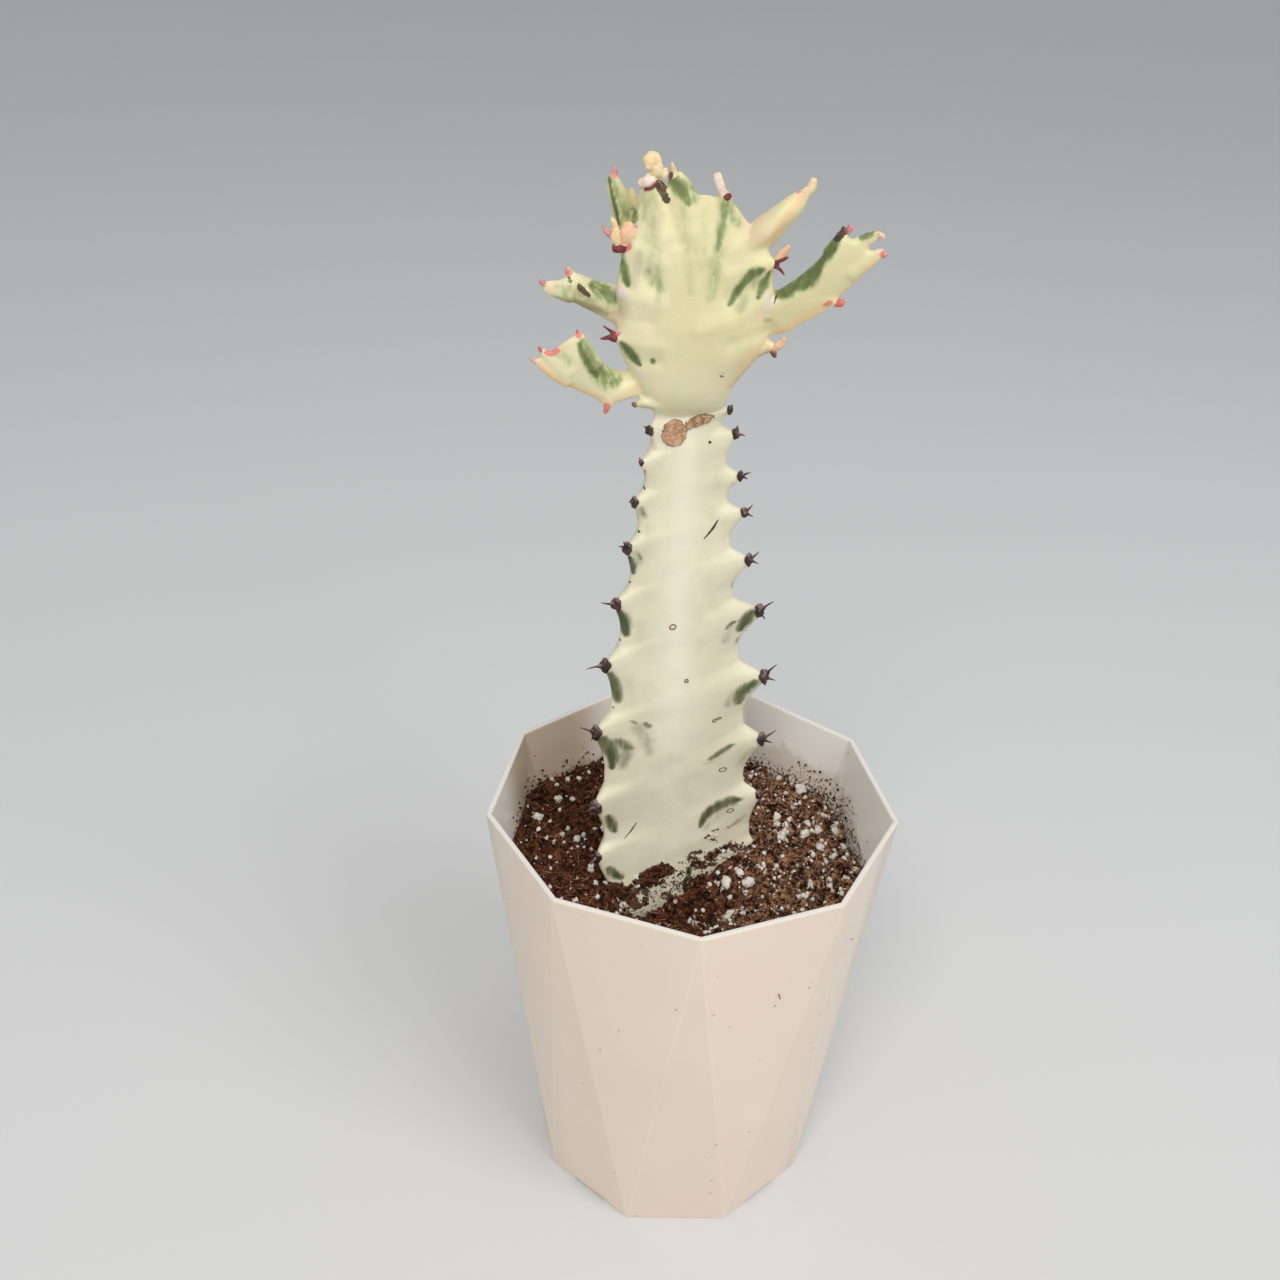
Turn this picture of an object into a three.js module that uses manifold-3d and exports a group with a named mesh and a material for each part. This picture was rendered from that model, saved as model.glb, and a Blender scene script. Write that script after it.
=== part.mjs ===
// White ghost euphorbia in its nine-sided pot. Millimetres, +Z up, the pot's foot on z = 0.
// The stem, its head and five branches keep a thin clearance to each other and to the soil.
import * as THREE from 'three';
import { mergeVertices } from 'three/addons/utils/BufferGeometryUtils.js';
import Module from 'manifold-3d';

const wasm = await Module();
wasm.setup();

const CLEARANCE = 0.3;
const MERGE_TOLERANCE = 1e-4;

// Pot: rim and foot are nine-sided, turned half a side to each other, so its sides are flat triangles.
// The foot's sides are notched below, apart from every third.
const POT_SIDES = 9;
const POT_HEIGHT = 119;
const RIM_RADIUS = 52.5;
const FOOT_RADIUS = 39.6;
const POT_WALL = 1.4;
const FLOOR_TOP = 4;
const FOOT_RECESS = 2;
const FOOT_LAND = 4;
const DRAIN_HOLES = 6;
const DRAIN_DIAMETER = 6;
const DRAIN_SIDES = 12;
const DRAIN_RING_RADIUS = 21;
const NOTCH_WIDTH = 11;
const NOTCH_HEIGHT = 0.9;
const PLAIN_SIDE_EVERY = 3;
const CUT_MARGIN = 1;
const HALF_SIDE = Math.PI / POT_SIDES;

// The rim has a corner in front and a side behind, so its box is centred a little behind the pot's axis.
const BOX_CENTRE_SHIFT = RIM_RADIUS * (1 - Math.cos(HALF_SIDE)) / 2;

// Soil: mean level, its slope, two waves of lumps, and the dip in front of the stem. A wave has its
// radians per millimetre along x and y, its shifts and its share of the lump height.
const SOIL_LEVEL = 97;
const SOIL_SLOPE_X = -0.055;
const SOIL_SLOPE_Y = 0.05;
const SOIL_LUMP = 1.1;
const BROAD_WAVE = { perMm: [0.42, 0.37], shift: [1.3, -0.4], share: 1 };
const FINE_WAVE = { perMm: [0.83, -0.61], share: 0.6 };
const SOIL_CELLS = 22;
const DIP_DEPTH = 14;
const DIP_CENTRE = [-3, -12];
const DIP_REACH = [14, 8];
const GRAIN_COUNT = 60;
const GRAIN_RADIUS = [0.9, 2.1];
const GRAIN_SUNK = 0.35;
const GRAIN_SEED = 4127;
const DRAW_FACTOR = 1664525;
const DRAW_STEP = 1013904223;
const DRAW_RANGE = 2 ** 32;

// Stem: three ribs. Each edge is a list of [height, x, y] along the valleys between its teeth, with the
// heights of the teeth from the top down, how far each reaches out of the edge, and the spines on it,
// each as [degrees above level, length].
const STEM_FOOT = 64;
const ROWS_PER_TOOTH = 6;
const ROWS_IN_FOOT = 6;
const ROWS_IN_HEAD = 16;
const FACE_STEPS = 7;
const VALLEY_AT = 0.78;
const UNDERSIDE_HOLLOW = 1.5;
const TOOTH_SPREAD = 4;
const TOP_TOOTH_FADE = 3.5;
const EDGES = 3;
const RIBS = [
  {
    edge: [
      [64, -8, 0], [76, -12, -6], [86, -15, -11], [98, -21, -9.5], [112, -22, -7], [135, -22, -5.5],
      [165, -19.6, -3], [193, -16, -1.5], [212, -13.8, 0], [220, -12.8, 0.5], [228, -16.5, -2],
      [238, -21, -3], [250, -21.5, -3], [260, -20, -2], [266, -17.5, -1], [269, -16.5, 0],
    ],
    top: 268.3,
    heights: [218, 211, 202, 191, 177, 161, 143, 121, 106, 90],
    reach: [2, 2.5, 2.8, 3, 3.2, 3.6, 4, 3, 2.5, 0],
    spines: [
      [[40, 1.2]], [[70, 0.9]], [[20, 1.3]], [[51, 2.6], [26, 2.1]], [[19, 3.3], [60, 1.2]],
      [[5, 4.2], [50, 1.2]], [[21, 3.8], [-40, 1.2]], [[8, 1.6]], [[2, 2.5]], [],
    ],
  },
  {
    edge: [
      [64, 0, 3], [76, 3, 3], [86, 7, 2], [98, 16, 5], [120, 13.7, 5], [139, 12.2, 4.8],
      [160, 9.5, 4.7], [177, 7, 4.6], [200, 4.2, 4.6], [212, 3, 4.5], [220, 1.8, 4.3], [228, 3.5, 1],
      [238, 9, -2], [250, 9.8, -2], [257, 8.5, -1.5], [262, 4.5, -0.5], [267.5, 0, 0.5],
    ],
    top: 267,
    heights: [221.5, 216, 206, 197, 185, 171.5, 153, 134, 116, 99],
    reach: [1.5, 2.7, 3.1, 3.7, 4.1, 5.5, 5.6, 4.3, 3.5, 1.5],
    spines: [
      [[70, 1]], [[80, 1.3], [-5, 1.5]], [[25, 1.9], [-25, 1.3]], [[51, 2.1], [-20, 1.5]],
      [[45, 2.4], [-15, 1.7]], [[42, 3.7], [-45, 1.6]], [[56, 4.5], [-10, 2], [-75, 1.6]], [[10, 1.2]],
      [[-35, 1.6]], [],
    ],
  },
  {
    edge: [
      [64, -6, 9], [76, -8, 15], [87, -10, 20], [98, -12.5, 25], [112, -13, 26], [135, -12.5, 25],
      [165, -11.8, 22.5], [193, -10.5, 19], [212, -9.3, 15.5], [220, -8.8, 13.5], [228, -8, 16],
      [238, -7, 20], [250, -7.5, 17], [257, -8.5, 12], [262, -10, 6.5],
    ],
    top: 261,
    heights: [220, 213.5, 204, 194, 181, 166, 148, 128, 111, 95],
    reach: [1.8, 2.6, 3, 3.4, 3.8, 4.6, 4.8, 3.8, 3, 0],
    spines: [
      [[40, 1.2]], [[60, 1.4]], [[30, 1.9], [-20, 1.5]], [[35, 2.2], [-15, 1.9]], [[40, 2.6], [-30, 1.6]],
      [[35, 3.4], [-12, 2.2]], [[30, 3.8], [-40, 1.7]], [[30, 3], [-20, 2]], [[20, 1.8]], [],
    ],
  },
];
const FACE_BULGE = [
  [64, 0.6], [92, 0.8], [101, 1.5], [200, 1.5], [218, 1.2], [220.5, 0.6], [223.5, 2.6], [227, 3.2],
  [236, 3.5], [250, 3], [262, 1.5], [268, 0.8],
];

// Knobs on the teeth, which reach their full size a few teeth from the top, and the spines on them.
const KNOB_RADIUS = 1.25;
const KNOB_DETAIL = 0;
const TOP_KNOB_SHARE = 0.6;
const FULL_KNOB_TOOTH = 4;
const SPINE_RADIUS = [0.45, 0.22];
const SPINE_SIDES = 4;
const FEATURE_SIDES = 6;
const LEAFLET_THICKNESS = 0.9;
const LEAFLET_ROWS = 4;

// Teeth, horns and leaflets of the head: from, to and radii or width.
const HEAD_FEATURES = [
  { kind: 'horn', from: [-8.8, 1.8, 262], to: [-10, 0.6, 268.6], radius: [4.2, 2.8] },
  { kind: 'horn', from: [-9.9, 0.7, 267.8], to: [-11.3, 0, 272.6], radius: [2.8, 0.6] },
  { kind: 'leaflet', from: [-11.2, 0, 271.6], to: [-11.6, 0, 274.2], width: 1.1 },
  { kind: 'horn', from: [-3, 2, 262], to: [-0.9, -0.6, 268.3], radius: [3.4, 0.9] },
  { kind: 'leaflet', from: [-1.4, -0.9, 267.6], to: [-3, -0.4, 271.8], width: 1.5 },
  { kind: 'horn', from: [-15, 2, 265], to: [-15.8, 0, 271.2], radius: [3.2, 1.5] },
  { kind: 'bead', at: [-15.5, 1.6, 272.8], radius: 1.9 },
  { kind: 'bead', at: [-14.4, -0.2, 271.8], radius: 1.5 },
  { kind: 'bead', at: [-16.5, -0.8, 270.4], radius: 1.4 },
  { kind: 'horn', from: [-18, 0, 255], to: [-21.5, -1.4, 258.8], radius: [3, 1.5] },
  { kind: 'leaflet', from: [-21, -1.2, 258.2], to: [-20.3, -1.4, 262], width: 2.6 },
  { kind: 'leaflet', from: [-21.6, -1.4, 258.6], to: [-22.8, -1.6, 261.8], width: 1.9 },
  { kind: 'horn', from: [-21.6, -1.4, 258.4], to: [-24.6, -1.8, 260.6], radius: [0.9, 0.35] },
  { kind: 'horn', from: [-18.5, -1, 238], to: [-22, -3.2, 239.6], radius: [2.4, 0.9] },
  { kind: 'horn', from: [-21.6, -3.2, 239.5], to: [-24.2, -4, 239.6], radius: [0.6, 0.3] },
  { kind: 'leaflet', from: [-21.6, -3, 239.5], to: [-23.6, -3.6, 241], width: 1.1 },
  { kind: 'horn', from: [-14, -1, 224.5], to: [-17.5, -3, 224.8], radius: [1.8, 0.6] },
  { kind: 'horn', from: [7, 0, 254.6], to: [9.8, -2.2, 255], radius: [1.8, 0.8] },
  { kind: 'horn', from: [9.4, -2, 255], to: [12, -3, 256.2], radius: [0.6, 0.3] },
  { kind: 'horn', from: [9.4, -2, 254.8], to: [11.8, -3, 253.6], radius: [0.6, 0.3] },
  { kind: 'leaflet', from: [9.4, -1.8, 255.2], to: [12.2, -2.6, 258.4], width: 1.5 },
  { kind: 'horn', from: [8, 0, 237.6], to: [11.3, -2.2, 237.6], radius: [1.9, 0.8] },
  { kind: 'leaflet', from: [11, -2, 237.6], to: [13.2, -3, 240.2], width: 1.5 },
];

// Branches: three long edges each, from the joint in the head to the tip, with their own features.
const BRANCH_ROWS = 12;
const BRANCH_FACE_STEPS = 3;
const BRANCHES = {
  branch_lower_left: {
    edges: [
      [
        [-13, 1, 226], [-17.5, -2, 226], [-21, -3.5, 225.3], [-23.5, -4, 224.4], [-25.7, -4, 226],
        [-32, -4.5, 229], [-35.2, -5, 231], [-38, -6, 235],
      ],
      [
        [-14, 4, 231.5], [-19.5, 0.5, 231], [-22.5, -1, 232], [-25, -2, 234], [-26.8, -2.8, 236.8],
        [-29.3, -4.6, 240.6],
      ],
      [
        [-14, -0.5, 230], [-20, -4, 229], [-23.5, -5.5, 229.5], [-26, -6, 232], [-28, -6.5, 235.5],
        [-30, -6, 240.6],
      ],
    ],
    bulge: 0.8,
    features: [
      { kind: 'horn', from: [-28.6, -5, 238.4], to: [-30, -5, 241.6], radius: [1.2, 0.5] },
      { kind: 'horn', from: [-34.5, -5.5, 234.5], to: [-37.4, -6, 237.6], radius: [1.5, 0.5] },
      { kind: 'horn', from: [-35, -5.5, 232.6], to: [-39, -6.2, 235.2], radius: [1.5, 0.5] },
      { kind: 'horn', from: [-22.5, -3.5, 227], to: [-23.5, -4, 223.8], radius: [2, 0.6] },
    ],
  },
  branch_mid_left: {
    edges: [
      [
        [-16, 2, 240.5], [-22.6, -1, 241.6], [-26, -2, 243.5], [-29.5, -3, 245.5], [-33, -3.6, 247.4],
        [-36.2, -4.5, 249.8],
      ],
      [
        [-16, 5, 248], [-22.5, 1.2, 249.4], [-27, 0, 250.4], [-30.5, -1.2, 251.9], [-33.2, -3, 250.8],
        [-36, -4, 250.6],
      ],
      [
        [-16, -1, 245], [-22.8, -3.5, 245.4], [-26.5, -4.5, 248], [-30, -5, 250.4], [-33.4, -5, 250.2],
        [-36, -5, 250.2],
      ],
    ],
    bulge: 0.6,
    features: [
      { kind: 'horn', from: [-29.6, -2.4, 249.6], to: [-32.2, -2.6, 253.4], radius: [1.6, 0.5] },
      { kind: 'horn', from: [-31, -4, 248.6], to: [-36.2, -4.5, 249.7], radius: [2, 1.1] },
      { kind: 'horn', from: [-34.5, -4.4, 249.8], to: [-37.2, -4.6, 250.6], radius: [0.9, 0.4] },
    ],
  },
  branch_upper_left: {
    edges: [
      [[-18, 9, 255], [-22, 7, 259.5], [-23.2, 6.5, 263.5], [-24.1, 5.6, 268.2], [-23.4, 5, 270]],
      [[-13.5, 6, 257], [-18, 4.4, 262.5], [-19.4, 4.2, 265.5], [-21, 4.4, 268], [-22.6, 4.8, 270]],
      [[-18, 3.2, 255.5], [-21.5, 3, 260.5], [-22.8, 2.6, 264.5], [-23.8, 3.4, 267.8], [-23.3, 4.4, 270]],
    ],
    bulge: 0.5,
    features: [
      { kind: 'horn', from: [-22.9, 4.8, 268.6], to: [-22.9, 4.9, 271.4], radius: [0.9, 0.35] },
      { kind: 'leaflet', from: [-19.2, 5.4, 262.6], to: [-18.8, 5.4, 267], width: 1.8 },
    ],
  },
  branch_upper_right: {
    edges: [
      [[4, 6, 252], [9.5, 2.6, 257.4], [12.5, 1.6, 261.6], [14.4, 0.8, 264.8], [15.2, 0, 267.6]],
      [[1, -1, 254], [6.2, -3.6, 260], [9.8, -3.2, 263.6], [12.6, -2.2, 266], [14.5, -1, 268]],
      [[0, 4, 256.5], [4.5, 2.6, 261.6], [9, 1.6, 265.2], [12.2, 0.8, 267.8], [14.3, 0, 269]],
    ],
    bulge: 1,
    features: [
      { kind: 'horn', from: [13.4, -0.2, 267], to: [15.6, -0.5, 269.3], radius: [1.5, 0.8] },
      { kind: 'leaflet', from: [15.2, -0.5, 268.6], to: [16.3, -0.5, 271.2], width: 1.9 },
    ],
  },
  branch_right: {
    edges: [
      [
        [2, 3, 240], [8.5, 0, 239.4], [13, -2, 240.6], [16.5, -3, 243.2], [20, -3.6, 245.5], [23, -4, 249],
        [26.4, -4.5, 252.6], [30, -5, 257],
      ],
      [
        [3, -1, 246], [10.5, -3.4, 247.4], [15.5, -5, 251.4], [19, -6, 255.4], [21, -6, 259],
        [23, -5.6, 261.2],
      ],
      [
        [3, 6, 247], [10.5, 1, 248.4], [15, -0.5, 251.8], [19.5, -1.5, 256.6], [21.2, -2, 259.2],
        [23, -3, 261.6],
      ],
    ],
    bulge: 0.9,
    features: [
      { kind: 'bead', at: [22.2, -4, 261.4], radius: 1.2 },
      { kind: 'horn', from: [22.2, -4, 261], to: [23.6, -4, 263.8], radius: [1, 0.6] },
      { kind: 'horn', from: [25.5, -4.6, 257.5], to: [29.2, -4.4, 262.4], radius: [2.6, 0.9] },
      { kind: 'horn', from: [28.2, -4.6, 260.6], to: [30.4, -5, 261.8], radius: [1.1, 0.6] },
      { kind: 'horn', from: [27, -4.8, 255.4], to: [31.4, -5.2, 258.6], radius: [2.4, 0.6] },
      { kind: 'horn', from: [20.6, -3.8, 248.6], to: [23.4, -4.2, 247.8], radius: [1.6, 0.7] },
    ],
  },
};

// Colour and roughness of each piece.
const SKIN = 0.5;
const FINISHES = {
  pot: [0xe8e1d5, 0.35],
  soil: [0x3a2117, 1],
  main_stem: [0xd9d6b4, SKIN],
  branch_lower_left: [0xdccf9c, SKIN],
  branch_mid_left: [0xcfc99a, SKIN],
  branch_upper_left: [0xa9b87e, SKIN],
  branch_upper_right: [0xe9cdae, SKIN],
  branch_right: [0xdfd3a2, SKIN],
};

// A closed geometry becomes a solid that can be cut and joined.
function solidOf(geometry) {
  const bare = geometry.clone();
  bare.deleteAttribute('normal');
  bare.deleteAttribute('uv');
  const merged = mergeVertices(bare, MERGE_TOLERANCE);
  const mesh = new wasm.Mesh({
    numProp: 3,
    vertProperties: new Float32Array(merged.attributes.position.array),
    triVerts: new Uint32Array(merged.index.array),
  });
  mesh.merge();
  return new wasm.Manifold(mesh);
}

function geometryOf(solid) {
  const mesh = solid.getMesh();
  const geometry = new THREE.BufferGeometry();
  geometry.setAttribute('position', new THREE.BufferAttribute(new Float32Array(mesh.vertProperties), 3));
  geometry.setIndex(new THREE.BufferAttribute(new Uint32Array(mesh.triVerts), 1));
  geometry.computeVertexNormals();
  return geometry;
}

function fuse(solids) {
  return solids.reduce((whole, solid) => whole.add(solid));
}

// The largest piece of a cut solid, without loose scraps.
function largest(solid) {
  return solid.decompose().reduce((best, piece) => (piece.volume() > best.volume() ? piece : best));
}

function seededDraw(seed) {
  let state = seed;
  return () => {
    state = (state * DRAW_FACTOR + DRAW_STEP) % DRAW_RANGE;
    return state / DRAW_RANGE;
  };
}

// Smooth value at a height, through rows of [height, value, value ...].
function along(rows, height) {
  const last = rows.length - 1;
  const clamped = THREE.MathUtils.clamp(height, rows[0][0], rows[last][0]);
  let i = 0;
  while (i < last - 1 && rows[i + 1][0] < clamped) i += 1;
  const [a, b] = [rows[i], rows[i + 1]];
  const before = rows[Math.max(i - 1, 0)];
  const after = rows[Math.min(i + 2, last)];
  const span = b[0] - a[0];
  const t = (clamped - a[0]) / span;
  return a.slice(1).map((value, k) => {
    const next = b[k + 1];
    const slopeIn = (next - before[k + 1]) / (b[0] - before[0]) * span;
    const slopeOut = (after[k + 1] - value) / (after[0] - a[0]) * span;
    const steep = 2 * t ** 3 - 3 * t ** 2;
    const bend = (t ** 3 - 2 * t ** 2 + t) * slopeIn + (t ** 3 - t ** 2) * slopeOut;
    return (steep + 1) * value - steep * next + bend;
  });
}

// A cylinder whose every ring is reshaped: place(turn, height) gives the point at both shares from 0 to 1.
function reshaped(sides, rows, place) {
  const radius = 1;
  const geometry = new THREE.CylinderGeometry(radius, radius, 1, sides, rows);
  const position = geometry.attributes.position;
  for (let i = 0; i < position.count; i += 1) {
    const x = position.getX(i);
    const z = position.getZ(i);
    const height = position.getY(i) + 0.5;
    const point = new THREE.Vector3();
    if (Math.hypot(x, z) < radius / 2) {
      for (let side = 0; side < sides; side += 1) {
        point.addScaledVector(place(side / sides, height), 1 / sides);
      }
    } else {
      const side = Math.round((Math.atan2(x, z) / (2 * Math.PI) + 1) * sides) % sides;
      point.copy(place(side / sides, height));
    }
    position.setXYZ(i, point.x, point.y, point.z);
  }
  return solidOf(geometry);
}

// Three edges joined by faces that bulge a little. cornerAt gives an edge's point and its tooth offset.
function threeSided(cornerAt, bulgeAt, faceSteps, rows) {
  return reshaped(EDGES * faceSteps, rows, (turn, height) => {
    const step = Math.round(turn * EDGES * faceSteps);
    const face = Math.floor(step / faceSteps) % EDGES;
    const share = step / faceSteps - Math.floor(step / faceSteps);
    const corners = [0, 1, 2].map((edge) => cornerAt(edge, height));
    const centre = new THREE.Vector3();
    corners.forEach((corner) => centre.addScaledVector(corner.point, 1 / EDGES));
    const [from, to] = [corners[face], corners[(face + 1) % EDGES]];
    const point = from.point.clone().lerp(to.point, share);
    const outward = from.point.clone().lerp(to.point, 0.5).sub(centre).normalize();
    point.addScaledVector(outward, bulgeAt(height) * 4 * share * (1 - share));
    point.addScaledVector(from.tooth, (1 - share) ** TOOTH_SPREAD);
    point.addScaledVector(to.tooth, share ** TOOTH_SPREAD);
    return point;
  });
}

function antiprism(topRadius, footRadius, foot, top) {
  const height = top - foot;
  const geometry = new THREE.CylinderGeometry(topRadius, footRadius, height, POT_SIDES, 1);
  geometry.rotateX(Math.PI / 2);
  geometry.translate(0, 0, foot + height / 2);
  const position = geometry.attributes.position;
  const turn = new THREE.Matrix4().makeRotationZ(HALF_SIDE);
  const point = new THREE.Vector3();
  for (let i = 0; i < position.count; i += 1) {
    point.fromBufferAttribute(position, i);
    if (point.z < foot + height / 2) {
      point.applyMatrix4(turn);
      position.setXYZ(i, point.x, point.y, point.z);
    }
  }
  return solidOf(geometry);
}

function potInside(gap) {
  const inset = (POT_WALL + gap) / Math.cos(HALF_SIDE);
  const slope = (RIM_RADIUS - FOOT_RADIUS) / POT_HEIGHT;
  const rim = RIM_RADIUS - inset + slope * CUT_MARGIN;
  const floor = FLOOR_TOP + gap;
  return antiprism(rim, FOOT_RADIUS - inset + slope * floor, floor, POT_HEIGHT + CUT_MARGIN);
}

function upright(geometry, x, y, z) {
  geometry.rotateX(Math.PI / 2);
  geometry.translate(x, y, z);
  return solidOf(geometry);
}

function makePot() {
  let pot = antiprism(RIM_RADIUS, FOOT_RADIUS, 0, POT_HEIGHT).subtract(potInside(0));
  const under = FOOT_RADIUS - FOOT_LAND;
  const deep = FOOT_RECESS + CUT_MARGIN;
  const recess = new THREE.CylinderGeometry(under, under, deep, POT_SIDES, 1, false, HALF_SIDE);
  pot = pot.subtract(upright(recess, 0, 0, (FOOT_RECESS - CUT_MARGIN) / 2));
  const bore = DRAIN_DIAMETER / 2;
  const drain = () => new THREE.CylinderGeometry(bore, bore, 2 * FLOOR_TOP, DRAIN_SIDES);
  pot = pot.subtract(upright(drain(), 0, 0, FLOOR_TOP));
  for (let hole = 0; hole < DRAIN_HOLES; hole += 1) {
    const angle = hole / DRAIN_HOLES * 2 * Math.PI;
    const [x, y] = [DRAIN_RING_RADIUS * Math.cos(angle), DRAIN_RING_RADIUS * Math.sin(angle)];
    pot = pot.subtract(upright(drain(), x, y, FLOOR_TOP));
  }
  for (let side = 0; side < POT_SIDES; side += 1) {
    if (side % PLAIN_SIDE_EVERY !== 0) {
      const notch = new THREE.BoxGeometry(NOTCH_WIDTH, 4 * FOOT_LAND, 2 * NOTCH_HEIGHT);
      notch.translate(0, -FOOT_RADIUS, 0);
      notch.rotateZ(side * 2 * HALF_SIDE);
      pot = pot.subtract(solidOf(notch));
    }
  }
  return pot;
}

// Teeth are horn-shaped: a long hollow underside and a short, nearly level upper side.
function toothOffset(rib, index) {
  const k = Math.min(Math.floor(index), rib.reach.length - 2);
  const u = index - k;
  if (u < VALLEY_AT) return rib.reach[k] * (1 - u / VALLEY_AT) ** UNDERSIDE_HOLLOW;
  return rib.reach[k + 1] * ((u - VALLEY_AT) / (1 - VALLEY_AT)) ** 2;
}

function ribPoint(rib, height) {
  const [x, y] = along(rib.edge, height);
  return new THREE.Vector3(x, y, height);
}

function ribOutward(rib, height) {
  const centre = new THREE.Vector3();
  RIBS.forEach((other) => centre.addScaledVector(ribPoint(other, height), 1 / EDGES));
  return ribPoint(rib, height).sub(centre).normalize();
}

// Rows run down the stem from its top: the head, then from tooth to tooth on every rib, then the foot.
function stemHeight(rib, row) {
  const teeth = rib.heights.length - 1;
  if (row < ROWS_IN_HEAD) return THREE.MathUtils.lerp(rib.top, rib.heights[0], row / ROWS_IN_HEAD);
  const index = (row - ROWS_IN_HEAD) / ROWS_PER_TOOTH;
  if (index >= teeth) {
    const below = (index - teeth) * ROWS_PER_TOOTH / ROWS_IN_FOOT;
    return THREE.MathUtils.lerp(rib.heights[teeth], STEM_FOOT, below);
  }
  const k = Math.floor(index);
  return THREE.MathUtils.lerp(rib.heights[k], rib.heights[k + 1], index - k);
}

function stemTooth(rib, row, height) {
  const teeth = rib.heights.length - 1;
  const index = (row - ROWS_IN_HEAD) / ROWS_PER_TOOTH;
  if (index < 0) {
    const fade = Math.max(0, 1 - (height - rib.heights[0]) / TOP_TOOTH_FADE);
    return rib.reach[0] * fade ** 2;
  }
  return index >= teeth ? 0 : toothOffset(rib, index);
}

function stemBody(grow, withTeeth) {
  const teeth = RIBS[0].heights.length - 1;
  const rows = ROWS_IN_HEAD + teeth * ROWS_PER_TOOTH + ROWS_IN_FOOT;
  const rowAt = (share) => Math.round((1 - share) * rows);
  const bulgeAt = (share) => along(FACE_BULGE, stemHeight(RIBS[0], rowAt(share)))[0];
  return threeSided((edge, share) => {
    const rib = RIBS[edge];
    const row = rowAt(share);
    const height = stemHeight(rib, row);
    const outward = ribOutward(rib, height);
    const point = ribPoint(rib, height).addScaledVector(outward, grow / Math.cos(Math.PI / EDGES));
    if (row === 0) point.z += grow;
    if (row === rows) point.z -= grow;
    const tooth = outward.clone().multiplyScalar(withTeeth ? stemTooth(rib, row, height) : 0);
    return { point, tooth };
  }, bulgeAt, FACE_STEPS, rows);
}

function bar(from, to, radii, sides) {
  const start = new THREE.Vector3(...from);
  const end = new THREE.Vector3(...to);
  const run = end.clone().sub(start);
  const geometry = new THREE.CylinderGeometry(radii[1], radii[0], run.length(), sides);
  const turn = new THREE.Quaternion().setFromUnitVectors(new THREE.Vector3(0, 1, 0), run.normalize());
  geometry.applyQuaternion(turn);
  const middle = start.lerp(end, 0.5);
  geometry.translate(middle.x, middle.y, middle.z);
  return solidOf(geometry);
}

function bead(at, radius) {
  const geometry = new THREE.IcosahedronGeometry(radius, KNOB_DETAIL);
  geometry.translate(...at);
  return solidOf(geometry);
}

// A leaflet is a flattened ellipsoid with its broad side towards the front.
function leaflet(from, to, width, grow) {
  const start = new THREE.Vector3(...from);
  const end = new THREE.Vector3(...to);
  const run = end.clone().sub(start);
  const geometry = new THREE.SphereGeometry(1, FEATURE_SIDES, LEAFLET_ROWS);
  geometry.scale(width / 2 + grow, run.length() / 2 + grow, LEAFLET_THICKNESS / 2 + grow);
  const across = new THREE.Vector3().crossVectors(run, new THREE.Vector3(0, 1, 0)).normalize();
  const facing = new THREE.Vector3().crossVectors(across, run).normalize();
  geometry.applyMatrix4(new THREE.Matrix4().makeBasis(across, run.normalize(), facing));
  const middle = start.lerp(end, 0.5);
  geometry.translate(middle.x, middle.y, middle.z);
  return solidOf(geometry);
}

function feature(item, grow) {
  if (item.kind === 'bead') return bead(item.at, item.radius + grow);
  if (item.kind === 'leaflet') return leaflet(item.from, item.to, item.width, grow);
  return bar(item.from, item.to, item.radius.map((radius) => radius + grow), FEATURE_SIDES);
}

// One knob with its spines stands on each tooth that clears the soil.
function knobAndSpines(rib, k) {
  const height = rib.heights[k];
  const outward = ribOutward(rib, height);
  const radius = KNOB_RADIUS * THREE.MathUtils.lerp(TOP_KNOB_SHARE, 1, Math.min(1, k / FULL_KNOB_TOOTH));
  const tip = ribPoint(rib, height).addScaledVector(outward, rib.reach[k]);
  const parts = [bead(tip.toArray(), radius)];
  rib.spines[k].forEach(([degrees, length]) => {
    const tilt = THREE.MathUtils.degToRad(degrees);
    const way = outward.clone().multiplyScalar(Math.cos(tilt)).setZ(Math.sin(tilt));
    const end = tip.clone().addScaledVector(way, radius + length);
    parts.push(bar(tip.toArray(), end.toArray(), SPINE_RADIUS, SPINE_SIDES));
  });
  return parts;
}

function makeStem() {
  const parts = [stemBody(0, true)];
  RIBS.forEach((rib) => {
    rib.reach.forEach((reach, k) => {
      if (reach > 0) parts.push(...knobAndSpines(rib, k));
    });
  });
  HEAD_FEATURES.forEach((item) => parts.push(feature(item, 0)));
  return largest(fuse(parts));
}

function makeBranch(branch, headCut) {
  const curves = branch.edges.map((points) => (
    new THREE.CatmullRomCurve3(points.map((point) => new THREE.Vector3(...point)))
  ));
  const body = threeSided(
    (edge, share) => ({ point: curves[edge].getPoint(1 - share), tooth: new THREE.Vector3() }),
    () => branch.bulge,
    BRANCH_FACE_STEPS,
    BRANCH_ROWS,
  );
  const parts = [body, ...branch.features.map((item) => feature(item, 0))];
  return largest(fuse(parts).subtract(headCut));
}

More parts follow.
